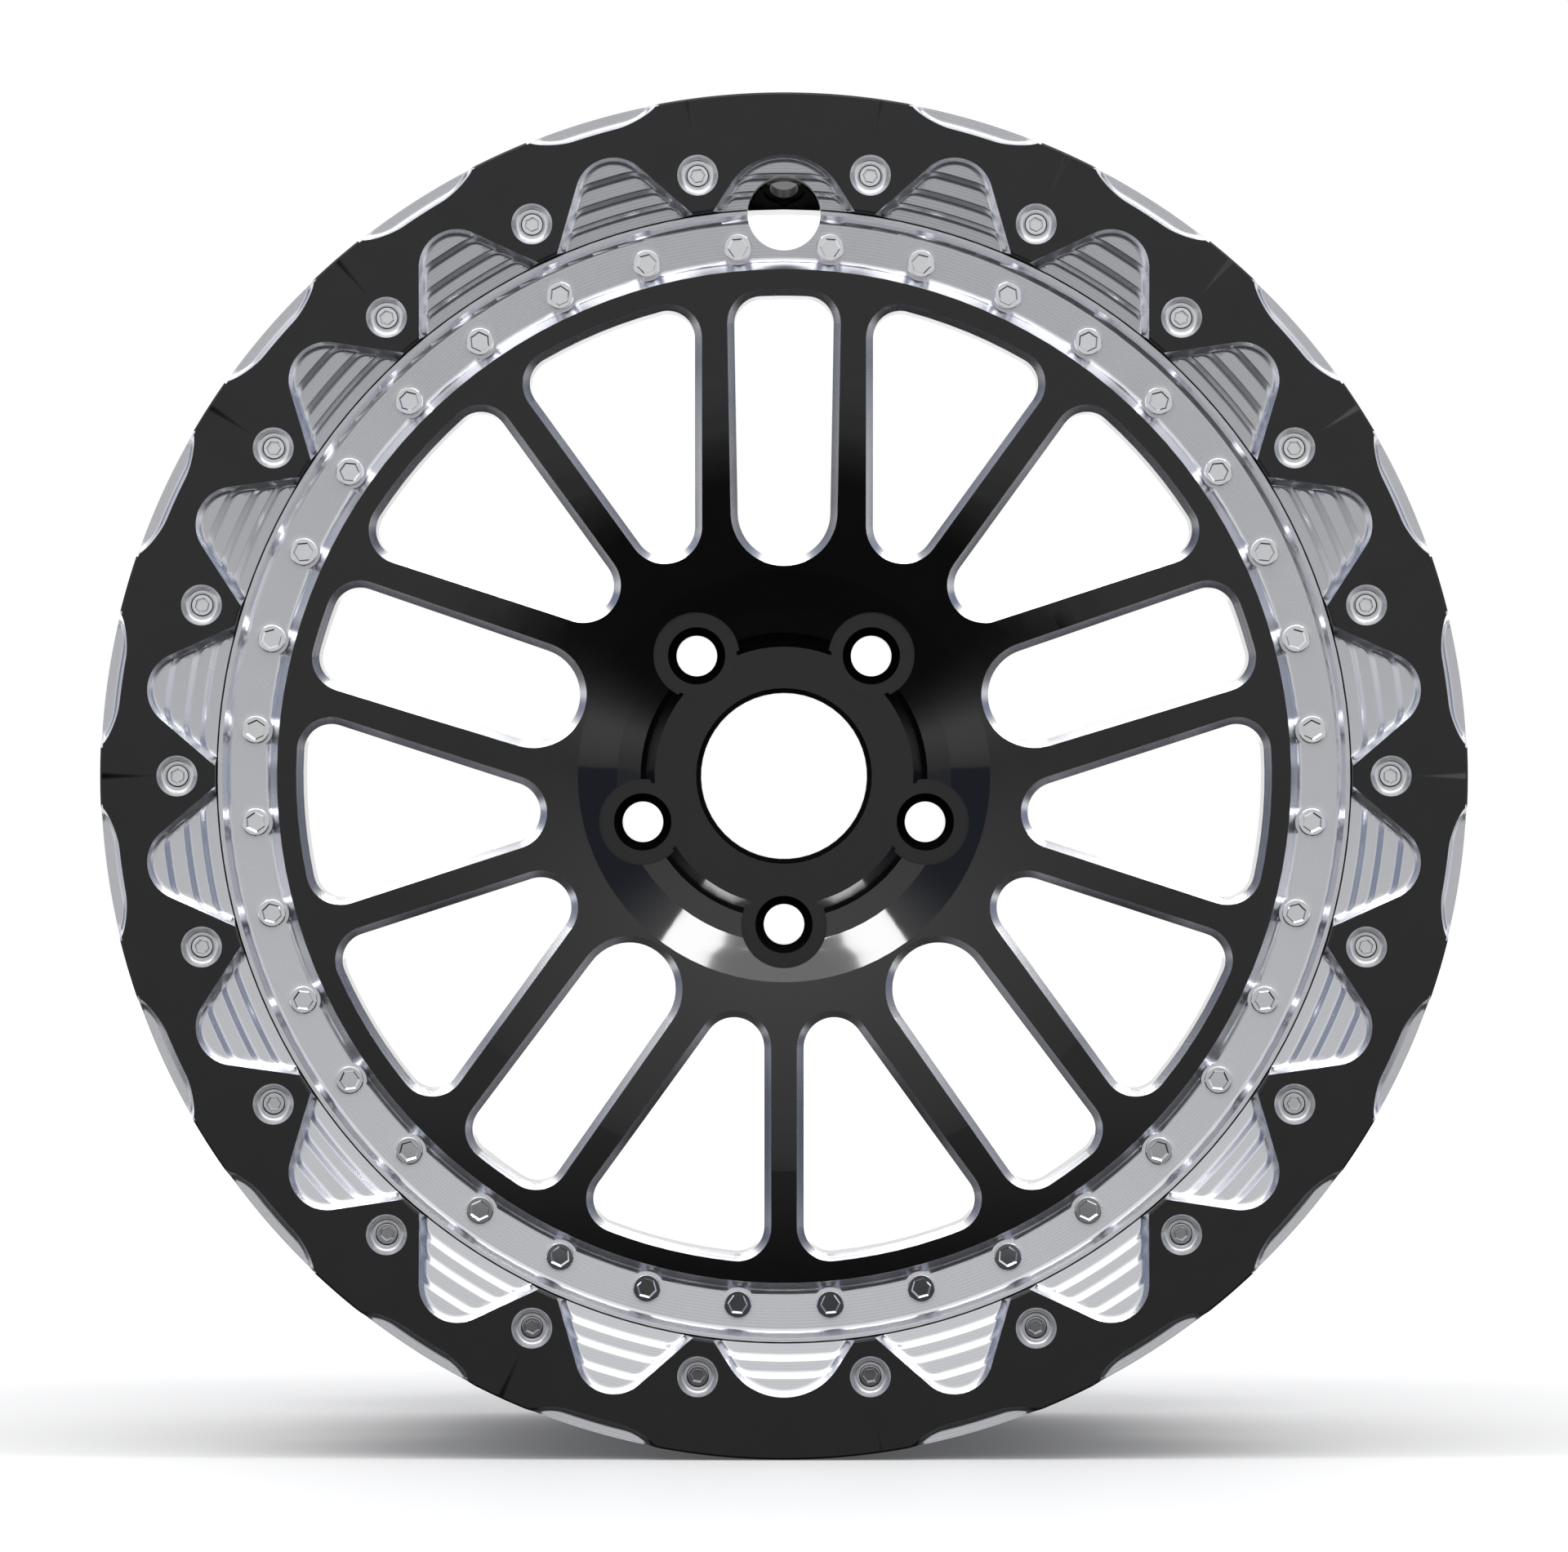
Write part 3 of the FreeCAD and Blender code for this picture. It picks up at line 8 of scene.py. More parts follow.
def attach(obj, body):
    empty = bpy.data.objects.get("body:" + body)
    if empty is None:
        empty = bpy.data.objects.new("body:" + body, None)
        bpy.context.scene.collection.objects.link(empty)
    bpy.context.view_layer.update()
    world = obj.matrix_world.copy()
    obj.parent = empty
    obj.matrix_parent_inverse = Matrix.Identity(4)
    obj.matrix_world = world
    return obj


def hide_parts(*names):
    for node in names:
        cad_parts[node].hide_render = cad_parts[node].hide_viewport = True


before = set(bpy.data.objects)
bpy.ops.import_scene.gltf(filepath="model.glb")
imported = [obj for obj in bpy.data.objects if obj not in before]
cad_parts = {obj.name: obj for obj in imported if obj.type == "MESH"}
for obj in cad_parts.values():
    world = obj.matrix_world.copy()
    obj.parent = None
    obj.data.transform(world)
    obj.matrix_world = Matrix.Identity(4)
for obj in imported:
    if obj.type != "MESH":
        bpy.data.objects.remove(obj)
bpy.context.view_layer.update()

# Lengths of the wheel are in millimetres, and depths run backwards from the ring's front plane
PER_METRE = 1000
FRONT = 72.0

# Clamp ring: edge, bore and stepped back
EDGE = 273.0
EDGE_BREAK = 0.8
BORE = 227.2
BORE_BREAK = 0.9
SECTORS = 22
PITCH = math.radians(360 / SECTORS)
HALF_PITCH = PITCH / 2
REGISTER = 253.25
REGISTER_STEP = 0.05
SEAT = 17.0
OVERHANG = 19.0

# Clamp ring: stepped crescents, with their wall, its fillet and their risers
FLANK = math.radians(32.5)
BASE_HALF = 27.4
BASE_HEIGHT = 226.8
TALL = 256.6
SHORT = 248.1
SHORT_SECTORS = {0: "top", 11: "bottom"}
WALL_WIDTH = 1.15
FILLET_ROUND = 2.1
FILLET_TURN = math.radians(52)
FIRST_TREAD = 2.0
TREAD_DROP = 2.2
TREAD_SLOPE = 0.04
TREAD_WIDTH = 7.5
RISERS = (249.4, 241.2, 234.4)
RISER_ROUND = 5.0
RISER_LEAN = math.radians(42)
RISER_DROP = TREAD_DROP - TREAD_SLOPE * TREAD_WIDTH
RISER_FOOT = 2.0
RISER_TOP = 0.9
APEX_ROOM = 1.0

# Clamp ring: edge scallops
SCALLOP_IN = 266.8
SCALLOP_HALF = 27.4
SCALLOP_LEAN = math.radians(60)
SCALLOP_ROUND = 5.0
SCALLOP_FLOOR = 5.0
SCALLOP_WALL_LEAN = math.radians(70.7)
SCALLOP_FOOT = 1.2

# Clamp ring: screw recesses and the access hole over the valve
SCREW_CIRCLE = 242.3
RECESS_MOUTH = 8.15
RECESS_FLOOR = 3.2
RECESS_LEAN = math.radians(61)
RECESS_FOOT = 1.0
SCREW_HOLE = 4.5
HOLE_BREAK = 0.7
ACCESS_HEIGHT = 225.2
ACCESS_RADIUS = 14.7

# Clamp ring: how finely its mesh is drawn
SUPPORT = 0.25
ARC_STEPS = 4
EDGE_STEPS = 24
NOSE_STEPS = 24
FLANK_STEPS = 12
CORNER_STEPS = 12
RISER_PIECE = 1.5
SCALLOP_CORNER_STEPS = 18
SCALLOP_STEPS = 8
RECESS_STEPS = 24
ACCESS_STEPS = 72
REGISTER_STEPS = 180
LINE_START = BORE - 4
PAST_MIDDLE = -1.0
CHORD_SAG = 0.003
HOLE_MARGIN = 0.01
BACK_MARGIN = 0.02
SAME_POINT = 1e-5
TURN_GRID = 20000
RING_SHARP = 28
COATED, MILLED, BRIGHT = range(3)

# Fasteners: each turned ring of an outline is (depth, radius, is it a hexagon)
BOLT_COUNT = 36
BOLT_CIRCLE = 212.1
BOLT_RINGS = (
    (9.0, 3.05, True),
    (7.1, 3.05, True),
    (6.6, 3.6, True),
    (6.6, 5.05, False),
    (6.6, 5.2, False),
    (6.68, 5.36, False),
    (6.84, 5.5, False),
    (7.05, 5.55, False),
    (11.0, 5.55, False),
    (11.0, 3.5, False),
    (43.8, 3.5, False),
    (44.4, 2.9, False),
)
SCREW_RINGS = (
    (7.0, 2.2, True),
    (4.9, 2.2, True),
    (4.4, 2.7, True),
    (4.4, 3.9, False),
    (4.4, 4.05, False),
    (4.52, 4.25, False),
    (4.75, 4.38, False),
    (5.0, 4.4, False),
    (9.4, 4.4, False),
    (9.4, 3.0, False),
    (29.9, 3.0, False),
    (30.4, 2.5, False),
)
SCREW_STEPS = 48
SCREW_SHARP = 32
HEXAGON_TURN = math.pi / 3

# Centre and barrel: where their finish changes
CHANNEL_START = 202.9
CHANNEL_BACK = 12.5
WINDOW_START = 82
WINDOW_HEAD = 185
WINDOW_END = 197
FACING = 0.3
CHAMFER_LEAN = 0.5
CHAMFER_SIDEWAYS = 0.2
VALVE_Y = -25.7
VALVE_Z = 237.05
VALVE_TILT = math.radians(39.1)
VALVE_REACH = 6.2

# Studio: metres on the floor, and parts of a direction in the world
# The white background starts and is full this far behind the wheel
BEHIND = (0.3, 0.9)
FLOOR_HEIGHT = -0.2732
FLOOR_HALF_WIDTH = 6
FLOOR_HALF_LENGTH = 8
# Painted dark reflection: these are floor tones that only reflected and bounced rays meet. They are
# near-black in a patch in front of the wheel and paler beside and behind it. The wheel's down-facing
# surfaces show the patch as dark reflection, and less light bounces back onto the wheel.
PAINTED_REFLECTION_SPAN = (-4.0, 1.0)
PAINTED_REFLECTION_TONES = ((0.0, 0.5), (0.54, 0.03), (0.80, 0.03), (0.90, 0.60), (0.95, 0.80), (1.0, 0.8))
PAINTED_REFLECTION_BORDER = (0.35, 1.0)
BARE_FLOOR = 0.6
SWEEP_SPAN = (0.5, 2.0)
SWEEP_GLOW = (0.08, 0.5)
LAMP_AIM = (0.0, -0.1, 0.0)
SKY_TONES = ((0.30, 0.03), (0.47, 0.72), (0.56, 0.95), (0.80, 1.4))
SKY_STRENGTH = (0.70, 1.1)
SKY_SIDES = (0.55, 0.85)
SIDE_TONE = (0.25, 0.29, 0.41, 1)
WHITE = (1, 1, 1, 1)
CAMERA_DISTANCE = 3.2
SENSOR_WIDTH = 36.0
LENS = 184.1
CLIP_END = 50.0


# Cross-sections of the ring's milled walls
def wall(slope, drop, foot, top=0.0):
    """Cross-section of a milled wall, rounded at top and foot: (distance in from its edge, depth)."""
    turns = [slope * i / ARC_STEPS for i in range(ARC_STEPS + 1)]
    crest = [(top * math.sin(t), top * (1 - math.cos(t))) for t in turns] if top else [(0.0, 0.0)]
    straight = drop - (top + foot) * (1 - math.cos(slope))
    width = (top + foot) * math.sin(slope) + straight / math.tan(slope)
    base = [(width - foot * math.sin(t), drop - foot * (1 - math.cos(t))) for t in reversed(turns)]
    return crest + base + [(width + SUPPORT, drop)]


def fillet(radius, turn):
    """Cross-section of the fillet below a crescent's wall: (distance in from the wall, height left)."""
    turns = [turn * (1 - i / ARC_STEPS) for i in range(ARC_STEPS + 1)]
    points = [(radius * (math.sin(turn) - math.sin(t)), radius * (1 - math.cos(t))) for t in turns]
    return points + [(points[-1][0] + SUPPORT, 0.0)]


def height_at(section, distance):
    """The height of a cross-section at a distance, between its points."""
    if distance <= section[0][0]:
        return section[0][1]
    for (a, low), (b, high) in zip(section, section[1:]):
        if distance <= b:
            return low + (high - low) * (distance - a) / (b - a)
    return section[-1][1]


RISER = [(-SUPPORT, 0.0)] + wall(RISER_LEAN, RISER_DROP, RISER_FOOT, RISER_TOP)
FILLET = fillet(FILLET_ROUND, FILLET_TURN)
SCALLOP_WALL = wall(SCALLOP_WALL_LEAN, SCALLOP_FLOOR, SCALLOP_FOOT)
RECESS = wall(RECESS_LEAN, RECESS_FLOOR, RECESS_FOOT)
RECESS.append((RECESS_MOUTH - SCREW_HOLE - HOLE_BREAK, RECESS_FLOOR))
RECESS.append((RECESS_MOUTH - SCREW_HOLE, RECESS_FLOOR + HOLE_BREAK))


# Distances within a sector of the ring, whose middle lies on x = 0
def rounded(first, second, radius):
    """Distance in from two edges that meet in a corner of that radius."""
    if first < radius and second < radius:
        return radius - math.hypot(radius - first, radius - second)
    return min(first, second)


def flank_in(x, z):
    """Distance in from a crescent's straight flank."""
    return (BASE_HALF - (z - BASE_HEIGHT) * math.tan(FLANK) - abs(x)) * math.cos(FLANK)


def scallop_corner():
    """Height at which a scallop's sides meet the ring's edge."""
    return math.sqrt(EDGE ** 2 - SCALLOP_HALF ** 2)


def scallop_in(x, z):
    """Distance in from a scallop's edge."""
    side = SCALLOP_HALF - (scallop_corner() - z) * math.tan(SCALLOP_LEAN) - abs(x)
    return rounded(side * math.cos(SCALLOP_LEAN), math.hypot(x, z) - SCALLOP_IN, SCALLOP_ROUND)


def screw_away(x, z):
    """Distance from the screw at the sector's border."""
    return math.hypot(x - SCREW_CIRCLE * math.sin(HALF_PITCH), z - SCREW_CIRCLE * math.cos(HALF_PITCH))


def access_away(x, z):
    """Distance from the middle of the access hole."""
    return math.hypot(x, z - ACCESS_HEIGHT)


def nose_of(apex):
    """Height and radius of the round that joins a crescent's flanks at its apex."""
    tip = BASE_HEIGHT + BASE_HALF / math.tan(FLANK)
    radius = (tip - apex) * math.sin(FLANK) / (1 - math.sin(FLANK))
    return apex - radius, radius


def outline_in(x, z, apex):
    """Distance in from a crescent's outline."""
    height, radius = nose_of(apex)
    if math.atan2(abs(x), z - height) < math.pi / 2 - FLANK:
        return radius - math.hypot(x, z - height)
    return flank_in(x, z)


# Depth and finish of the ring's front
def crescent_depth(x, z, apex):
    """Depth of the stepped crescent at a point of its half sector, 0 outside of it."""
    radius = math.hypot(x, z)
    side = outline_in(x, z, apex)
    if side <= 0:
        return 0.0
    depth = FIRST_TREAD + TREAD_SLOPE * (apex - radius)
    for riser in RISERS:
        if riser > apex - APEX_ROOM:
            depth += TREAD_DROP
        else:
            depth += height_at(RISER, rounded(side, riser - radius, RISER_ROUND))
    if side < WALL_WIDTH:
        return (depth - FILLET[0][1]) * side / WALL_WIDTH
    return depth - height_at(FILLET, side - WALL_WIDTH)


def ring_depth(x, z, apex, scallop):
    """Depth of the ring's front at a point of a half sector."""
    radius = math.hypot(x, z)
    depth = max(0.0, radius - (EDGE - EDGE_BREAK), BORE + BORE_BREAK - radius)
    depth = max(depth, crescent_depth(x, z, apex))
    if scallop:
        depth = max(depth, height_at(SCALLOP_WALL, scallop_in(x, z)))
    return max(depth, height_at(RECESS, RECESS_MOUTH - screw_away(x, z)))


def finish_at(x, z, apex, scallop):
    """The finish at a point of a half sector."""
    if screw_away(x, z) < RECESS_MOUTH:
        return BRIGHT
    if crescent_depth(x, z, apex) > 0 or (scallop and scallop_in(x, z) > 0):
        return MILLED
    return COATED


# Lines of a half sector that its mesh follows
def line_on_circle(start, slope, radius):
    """Where the line x = start + slope * z meets a circle round the axis."""
    scale = 1 + slope * slope
    middle = -start * slope / scale
    rest = middle * middle - (start * start - radius * radius) / scale
    z = middle + math.sqrt(max(rest, 0.0))
    return start + slope * z, z


def arc(radius, low, high, count):
    """Points on a circle round the axis, from one angle to another."""
    turns = [low + (high - low) * i / count for i in range(count + 1)]
    return [(radius * math.sin(t), radius * math.cos(t)) for t in turns]


def past_middle(points):
    """The line, led on across the sector's middle."""
    return points + [(PAST_MIDDLE, points[-1][1])]


def arc_to_middle(circle, x, count):
    """Points on a circle round the axis, from beside x to the sector's middle."""
    turn = math.asin(x / circle)
    turns = [turn * (1 - i / count) for i in range(1, count + 1)]
    return [(circle * math.sin(t), circle * math.cos(t)) for t in turns]


def nose_line(level, apex):
    """Line of equal distance in from a crescent's outline, from its base to its apex."""
    height, radius = nose_of(apex)
    radius -= level
    turns = [(math.pi / 2 - FLANK) * (1 - i / NOSE_STEPS) for i in range(NOSE_STEPS + 1)]
    points = [(radius * math.sin(t), height + radius * math.cos(t)) for t in turns]
    x, z = points[0]
    reach = (z - LINE_START) / FLANK_STEPS
    slope = math.tan(FLANK)
    base = [(x + reach * i * slope, z - reach * i) for i in range(FLANK_STEPS, 0, -1)]
    return past_middle(base + points)


def outline_point(side, circle, apex):
    """The point at a distance in from a crescent's outline, on a circle round the axis."""
    slope = math.tan(FLANK)
    start = BASE_HALF + BASE_HEIGHT * slope - side / math.cos(FLANK)
    x, z = line_on_circle(start, -slope, circle)
    height, nose = nose_of(apex)
    if math.atan2(x, z - height) >= math.pi / 2 - FLANK:
        return x, z
    reach = nose - side
    z = (circle * circle - reach * reach + height * height) / (2 * height)
    return math.sqrt(max(circle * circle - z * z, 0.0)), z


def riser_line(level, apex, riser):
    """Line of equal distance in from a riser and a crescent's outline, with its rounded corner."""
    bend = RISER_ROUND - level
    turns = [math.radians(90 * i / CORNER_STEPS) for i in range(CORNER_STEPS + 1)]
    inner = riser - RISER_ROUND
    points = [
        outline_point(RISER_ROUND - bend * math.cos(t), inner + bend * math.sin(t), apex)
        for t in turns
    ]
    x, _ = points[-1]
    points += arc_to_middle(riser - level, x, max(2, int(x / RISER_PIECE)))
    return past_middle(points)


def scallop_line(level):
    """Line of equal distance in from a scallop's edge, from the ring's edge to the middle."""
    lean = math.tan(SCALLOP_LEAN)
    bend = SCALLOP_ROUND - level
    points = []
    for i in range(SCALLOP_CORNER_STEPS + 1):
        turn = math.radians(90 * i / SCALLOP_CORNER_STEPS)
        side = SCALLOP_ROUND - bend * math.cos(turn)
        inner = SCALLOP_ROUND - bend * math.sin(turn)
        start = SCALLOP_HALF - scallop_corner() * lean - side / math.cos(SCALLOP_LEAN)
        points.append(line_on_circle(start, lean, SCALLOP_IN + inner))
    x, _ = points[-1]
    points += arc_to_middle(SCALLOP_IN + level, x, SCALLOP_STEPS)
    return past_middle(points)


def recess_line(radius):
    """Half a circle round the screw, on this side of the sector's border."""
    x = SCREW_CIRCLE * math.sin(HALF_PITCH)
    z = SCREW_CIRCLE * math.cos(HALF_PITCH)
    turns = [math.pi + HALF_PITCH + math.pi * i / RECESS_STEPS for i in range(RECESS_STEPS + 1)]
    return [(x + radius * math.sin(t), z + radius * math.cos(t)) for t in turns]


def sector_lines(apex, scallop):
    """All open lines of a half sector."""
    lines = []
    for radius in (BORE, BORE + BORE_BREAK, EDGE - EDGE_BREAK, EDGE):
        lines.append(arc(radius, 0.0, HALF_PITCH, EDGE_STEPS))
    for turn in (0.0, HALF_PITCH):
        lines.append([(r * math.sin(turn), r * math.cos(turn)) for r in (BORE, EDGE)])
    for level in [0.0] + [WALL_WIDTH + reach for reach, _ in FILLET]:
        lines.append(nose_line(level, apex))
    for riser in RISERS:
        if riser < apex - APEX_ROOM:
            lines.extend(riser_line(level, apex, riser) for level, _ in RISER)
    if scallop:
        lines.extend(scallop_line(level) for level, _ in SCALLOP_WALL)
    lines.extend(recess_line(RECESS_MOUTH - reach) for reach, _ in RECESS)
    return lines


def centre_of(points, face):
    """The middle of a flat triangle, as x and z."""
    x = sum(points[i].x for i in face) / 3
    z = sum(points[i].y for i in face) / 3
    return x, z


def half_sector(apex, scallop, access):
    """Points, and triangles with their finish, of half a sector of the ring's front."""
    points = []
    edges = []
    for line in sector_lines(apex, scallop):
        first = len(points)
        points.extend(Vector(p) for p in line)
        edges.extend((i, i + 1) for i in range(first, len(points) - 1))
    if access:
        first = len(points)
        circle = arc(ACCESS_RADIUS, 0.0, 2 * math.pi, ACCESS_STEPS)[:-1]
        points.extend(Vector((x, ACCESS_HEIGHT + z)) for x, z in circle)
        edges.extend((first + i, first + (i + 1) % ACCESS_STEPS) for i in range(ACCESS_STEPS))
    found, _, faces, _, _, _ = delaunay_2d_cdt(points, edges, [], 0, SAME_POINT)
    places = [(p.x, p.y, ring_depth(p.x, p.y, apex, scallop)) for p in found]
    kept = []
    for face in faces:
        x, z = centre_of(found, face)
        in_sector = 0 < math.atan2(x, z) < HALF_PITCH
        in_ring = BORE - CHORD_SAG < math.hypot(x, z) < EDGE
        in_hole = screw_away(x, z) < SCREW_HOLE - HOLE_MARGIN
        in_access = access and access_away(x, z) < ACCESS_RADIUS - HOLE_MARGIN
        if in_sector and in_ring and not in_hole and not in_access:
            kept.append((tuple(face), finish_at(x, z, apex, scallop)))
    return places, kept


# Meshes of the new pieces
def new_object(name, mesh, node, materials):
    """A piece that stands for a node of the CAD model."""
    item = bpy.data.objects.new(name, mesh)
    bpy.context.scene.collection.objects.link(item)
    for material in materials:
        mesh.materials.append(material)
    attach(item, "root")
    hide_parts(node)


def shade(mesh, angle):
    """Smooth shading that stays sharp at edges over that angle."""
    mesh.polygons.foreach_set("use_smooth", [True] * len(mesh.polygons))
    mesh.set_sharp_from_angle(angle=math.radians(angle))


def point(x, depth, z):
    """A place on the wheel, in metres in the shared frame."""
    return Vector((x / PER_METRE, (depth - FRONT) / PER_METRE, z / PER_METRE))


def back_depth(x, z):
    """Depth of the ring's stepped back."""
    return SEAT if math.hypot(x, z) < REGISTER else OVERHANG


class RingMesh:
    """The clamp ring's points and faces; a point that is there already is used again."""

    def __init__(self):
        self.vertices = []
        self.faces = []
        self.finishes = []
        self.index = {}

    def vertex(self, x, z, depth):
        turn = round(math.atan2(x, z) / PITCH * TURN_GRID) % (SECTORS * TURN_GRID)
        key = (turn, round(math.hypot(x, z), 2), round(depth, 2))
        if key not in self.index:
            self.index[key] = len(self.vertices)
            self.vertices.append(point(x, depth, z))
        return self.index[key]

    def face(self, corners, finish):
        self.faces.append(corners)
        self.finishes.append(finish)


def ring_front(ring):
    """The milled front, half sector by half sector; gives back its open edges."""
    kinds = {"tall": (TALL, True, False), "top": (SHORT, False, True), "bottom": (SHORT, False, False)}
    halves = {name: half_sector(*kind) for name, kind in kinds.items()}
    border = {}
    for sector in range(SECTORS):
        places, kept = halves[SHORT_SECTORS.get(sector, "tall")]
        c = math.cos(sector * PITCH)
        s = math.sin(sector * PITCH)
        for side in (1, -1):
            numbers = [ring.vertex(side * x * c + z * s, -side * x * s + z * c, d) for x, z, d in places]
            for face, finish in kept:
                corners = [numbers[i] for i in face]
                if side > 0:
                    corners.reverse()
                if len(set(corners)) < 3:
                    continue
                ring.face(corners, finish)
                for a, b in zip(corners, corners[1:] + corners[:1]):
                    if (b, a) in border:
                        del border[(b, a)]
                    else:
                        border[(a, b)] = True
    return list(border)


def ring_walls(ring, border):
    """Walls from the front's open edges to the back; gives back the rear point of each front point."""
    rear = {}
    for a, b in border:
        for i in (a, b):
            if i not in rear:
                x = ring.vertices[i].x * PER_METRE
                z = ring.vertices[i].z * PER_METRE
                rear[i] = ring.vertex(x, z, back_depth(x, z))
        ring.face([b, a, rear[a], rear[b]], COATED)
    return rear


def ring_back(ring, border, rear):
    """The back, with its step at the register."""
    numbers = sorted(rear.values())
    flat = [Vector((ring.vertices[i].x * PER_METRE, ring.vertices[i].z * PER_METRE)) for i in numbers]
    place = {number: i for i, number in enumerate(numbers)}
    lines = [(place[rear[a]], place[rear[b]]) for a, b in border]
    for radius in (REGISTER - REGISTER_STEP, REGISTER + REGISTER_STEP):
        first = len(flat)
        flat.extend(Vector(p) for p in arc(radius, 0.0, 2 * math.pi, REGISTER_STEPS)[:-1])
        lines.extend((first + i, first + (i + 1) % REGISTER_STEPS) for i in range(REGISTER_STEPS))
    found, _, triangles, _, _, _ = delaunay_2d_cdt(flat, lines, [], 0, SAME_POINT)
    numbers = [ring.vertex(p.x, p.y, back_depth(p.x, p.y)) for p in found]
    for face in triangles:
        x, z = centre_of(found, face)
        radius = math.hypot(x, z)
        turn = math.atan2(x, z) % PITCH
        in_hole = screw_away(radius * math.sin(turn), radius * math.cos(turn)) < SCREW_HOLE - BACK_MARGIN
        in_access = access_away(x, z) < ACCESS_RADIUS - BACK_MARGIN
        corners = [numbers[i] for i in face]
        if radius >= BORE - CHORD_SAG and not in_hole and not in_access and len(set(corners)) == 3:
            ring.face(corners, COATED)


def build_ring(materials):
    """The clamp ring: its milled front, its edges and its stepped back."""
    ring = RingMesh()
    border = ring_front(ring)
    rear = ring_walls(ring, border)
    ring_back(ring, border, rear)
    mesh = bpy.data.meshes.new("clamp_ring")
    mesh.from_pydata(ring.vertices, [], ring.faces)
    new_object("clamp_ring", mesh, "beadlock_ring", materials)
    mesh.polygons.foreach_set("material_index", ring.finishes)
    mesh.validate()
    shade(mesh, RING_SHARP)


def screw_set(name, node, material, count, circle, rings):
    """A circle of socket screws with one outline."""
    vertices = []
    faces = []
    for number in range(count):
        turn = 2 * math.pi * (number + 0.5) / count
        out = Vector((math.sin(turn), 0.0, math.cos(turn)))
        side = Vector((math.cos(turn), 0.0, -math.sin(turn)))
        first = len(vertices)
        for depth, radius, hexagon in rings:
            middle = point(0.0, depth, 0.0)
            for i in range(SCREW_STEPS):
                t = 2 * math.pi * i / SCREW_STEPS
                reach = radius
                if hexagon:
                    reach = radius / math.cos((t + HEXAGON_TURN / 2) % HEXAGON_TURN - HEXAGON_TURN / 2)
                flat = out * (circle + reach * math.cos(t)) + side * (reach * math.sin(t))
                vertices.append(middle + flat / PER_METRE)
        for ring in range(len(rings) - 1):
            for i in range(SCREW_STEPS):
                a = first + ring * SCREW_STEPS + i
                b = first + ring * SCREW_STEPS + (i + 1) % SCREW_STEPS
                faces.append((a, b, b + SCREW_STEPS, a + SCREW_STEPS))
        faces.append([first + i for i in reversed(range(SCREW_STEPS))])
        last = first + (len(rings) - 1) * SCREW_STEPS
        faces.append([last + i for i in range(SCREW_STEPS)])
    mesh = bpy.data.meshes.new(name)
    mesh.from_pydata(vertices, [], faces)
    new_object(name, mesh, node, (material,))
    mesh.validate()
    shade(mesh, SCREW_SHARP)


# Nodes of materials and world
def add_node(tree, kind, **settings):
    """A new shader node with its settings."""
    node = tree.nodes.new("ShaderNode" + kind)
    for name, value in settings.items():
        setattr(node, name, value)
    return node


def grey(tone):
    return (tone, tone, tone, 1)


def split(tree, vector):
    """The X, Y and Z sockets of a vector."""
    node = add_node(tree, "SeparateXYZ")
    tree.links.new(vector, node.inputs["Vector"])
    return node.outputs


def calculate(tree, operation, *values):
    """The result of a math node on sockets."""
    node = add_node(tree, "Math", operation=operation)
    for value, entry in zip(values, node.inputs):
        tree.links.new(value, entry)
    return node.outputs["Value"]


def length_of(tree, vector):
    node = add_node(tree, "VectorMath", operation="LENGTH")
    tree.links.new(vector, node.inputs[0])
    return node.outputs["Value"]


def span(tree, value, source, target=(0.0, 1.0), kind="LINEAR"):
    """Maps a value from one range to another."""
    node = add_node(tree, "MapRange", interpolation_type=kind)
    node.inputs["From Min"].default_value, node.inputs["From Max"].default_value = source
    node.inputs["To Min"].default_value, node.inputs["To Max"].default_value = target
    tree.links.new(value, node.inputs["Value"])
    return node.outputs["Result"]


def ramp(tree, value, stops):
    """Colours along a value, from stops of (position, colour)."""
    node = add_node(tree, "ValToRGB")
    elements = node.color_ramp.elements
    for element, (position, colour) in zip(elements, (stops[0], stops[-1])):
        element.position = position
        element.color = colour
    for position, colour in stops[1:-1]:
        elements.new(position).color = colour
    tree.links.new(value, node.inputs["Fac"])
    return node.outputs["Color"]


def blend(tree, factor, colour, constant):
    """Blends a colour socket into a constant colour."""
    node = add_node(tree, "Mix", data_type="RGBA")
    entries = {entry.identifier: entry for entry in node.inputs}
    tree.links.new(factor, entries["Factor_Float"])
    tree.links.new(colour, entries["A_Color"])
    entries["B_Color"].default_value = constant
    return next(result for result in node.outputs if result.identifier == "Result_Color")


def bump(tree, height, strength, distance):
    """A bump node driven by a height."""
    node = add_node(tree, "Bump")
    node.inputs["Strength"].default_value = strength
    node.inputs["Distance"].default_value = distance
    tree.links.new(height, node.inputs["Height"])
    return node


def sees_backdrop(tree, along):
    """1 for rays that meet the white background: the camera's, through glass, and reflected from behind."""
    back = span(tree, along, BEHIND, kind="SMOOTHSTEP")
    path = add_node(tree, "LightPath")
    direct = calculate(tree, "MAXIMUM", path.outputs["Is Camera Ray"], path.outputs["Is Transmission Ray"])
    mirrored = calculate(tree, "MULTIPLY", path.outputs["Is Glossy Ray"], back)
    return calculate(tree, "MAXIMUM", direct, mirrored)


def mix_shaders(tree, factor, others, seen, surface):
    """Leads one shader to the rays that see the backdrop and another one to the rest."""
    node = add_node(tree, "MixShader")
    for value, entry in zip((factor, others, seen), node.inputs):
        tree.links.new(value, entry)
    tree.links.new(node.outputs["Shader"], surface)


# Finishes
def shader_of(material):
    return material.node_tree.nodes["Principled BSDF"]


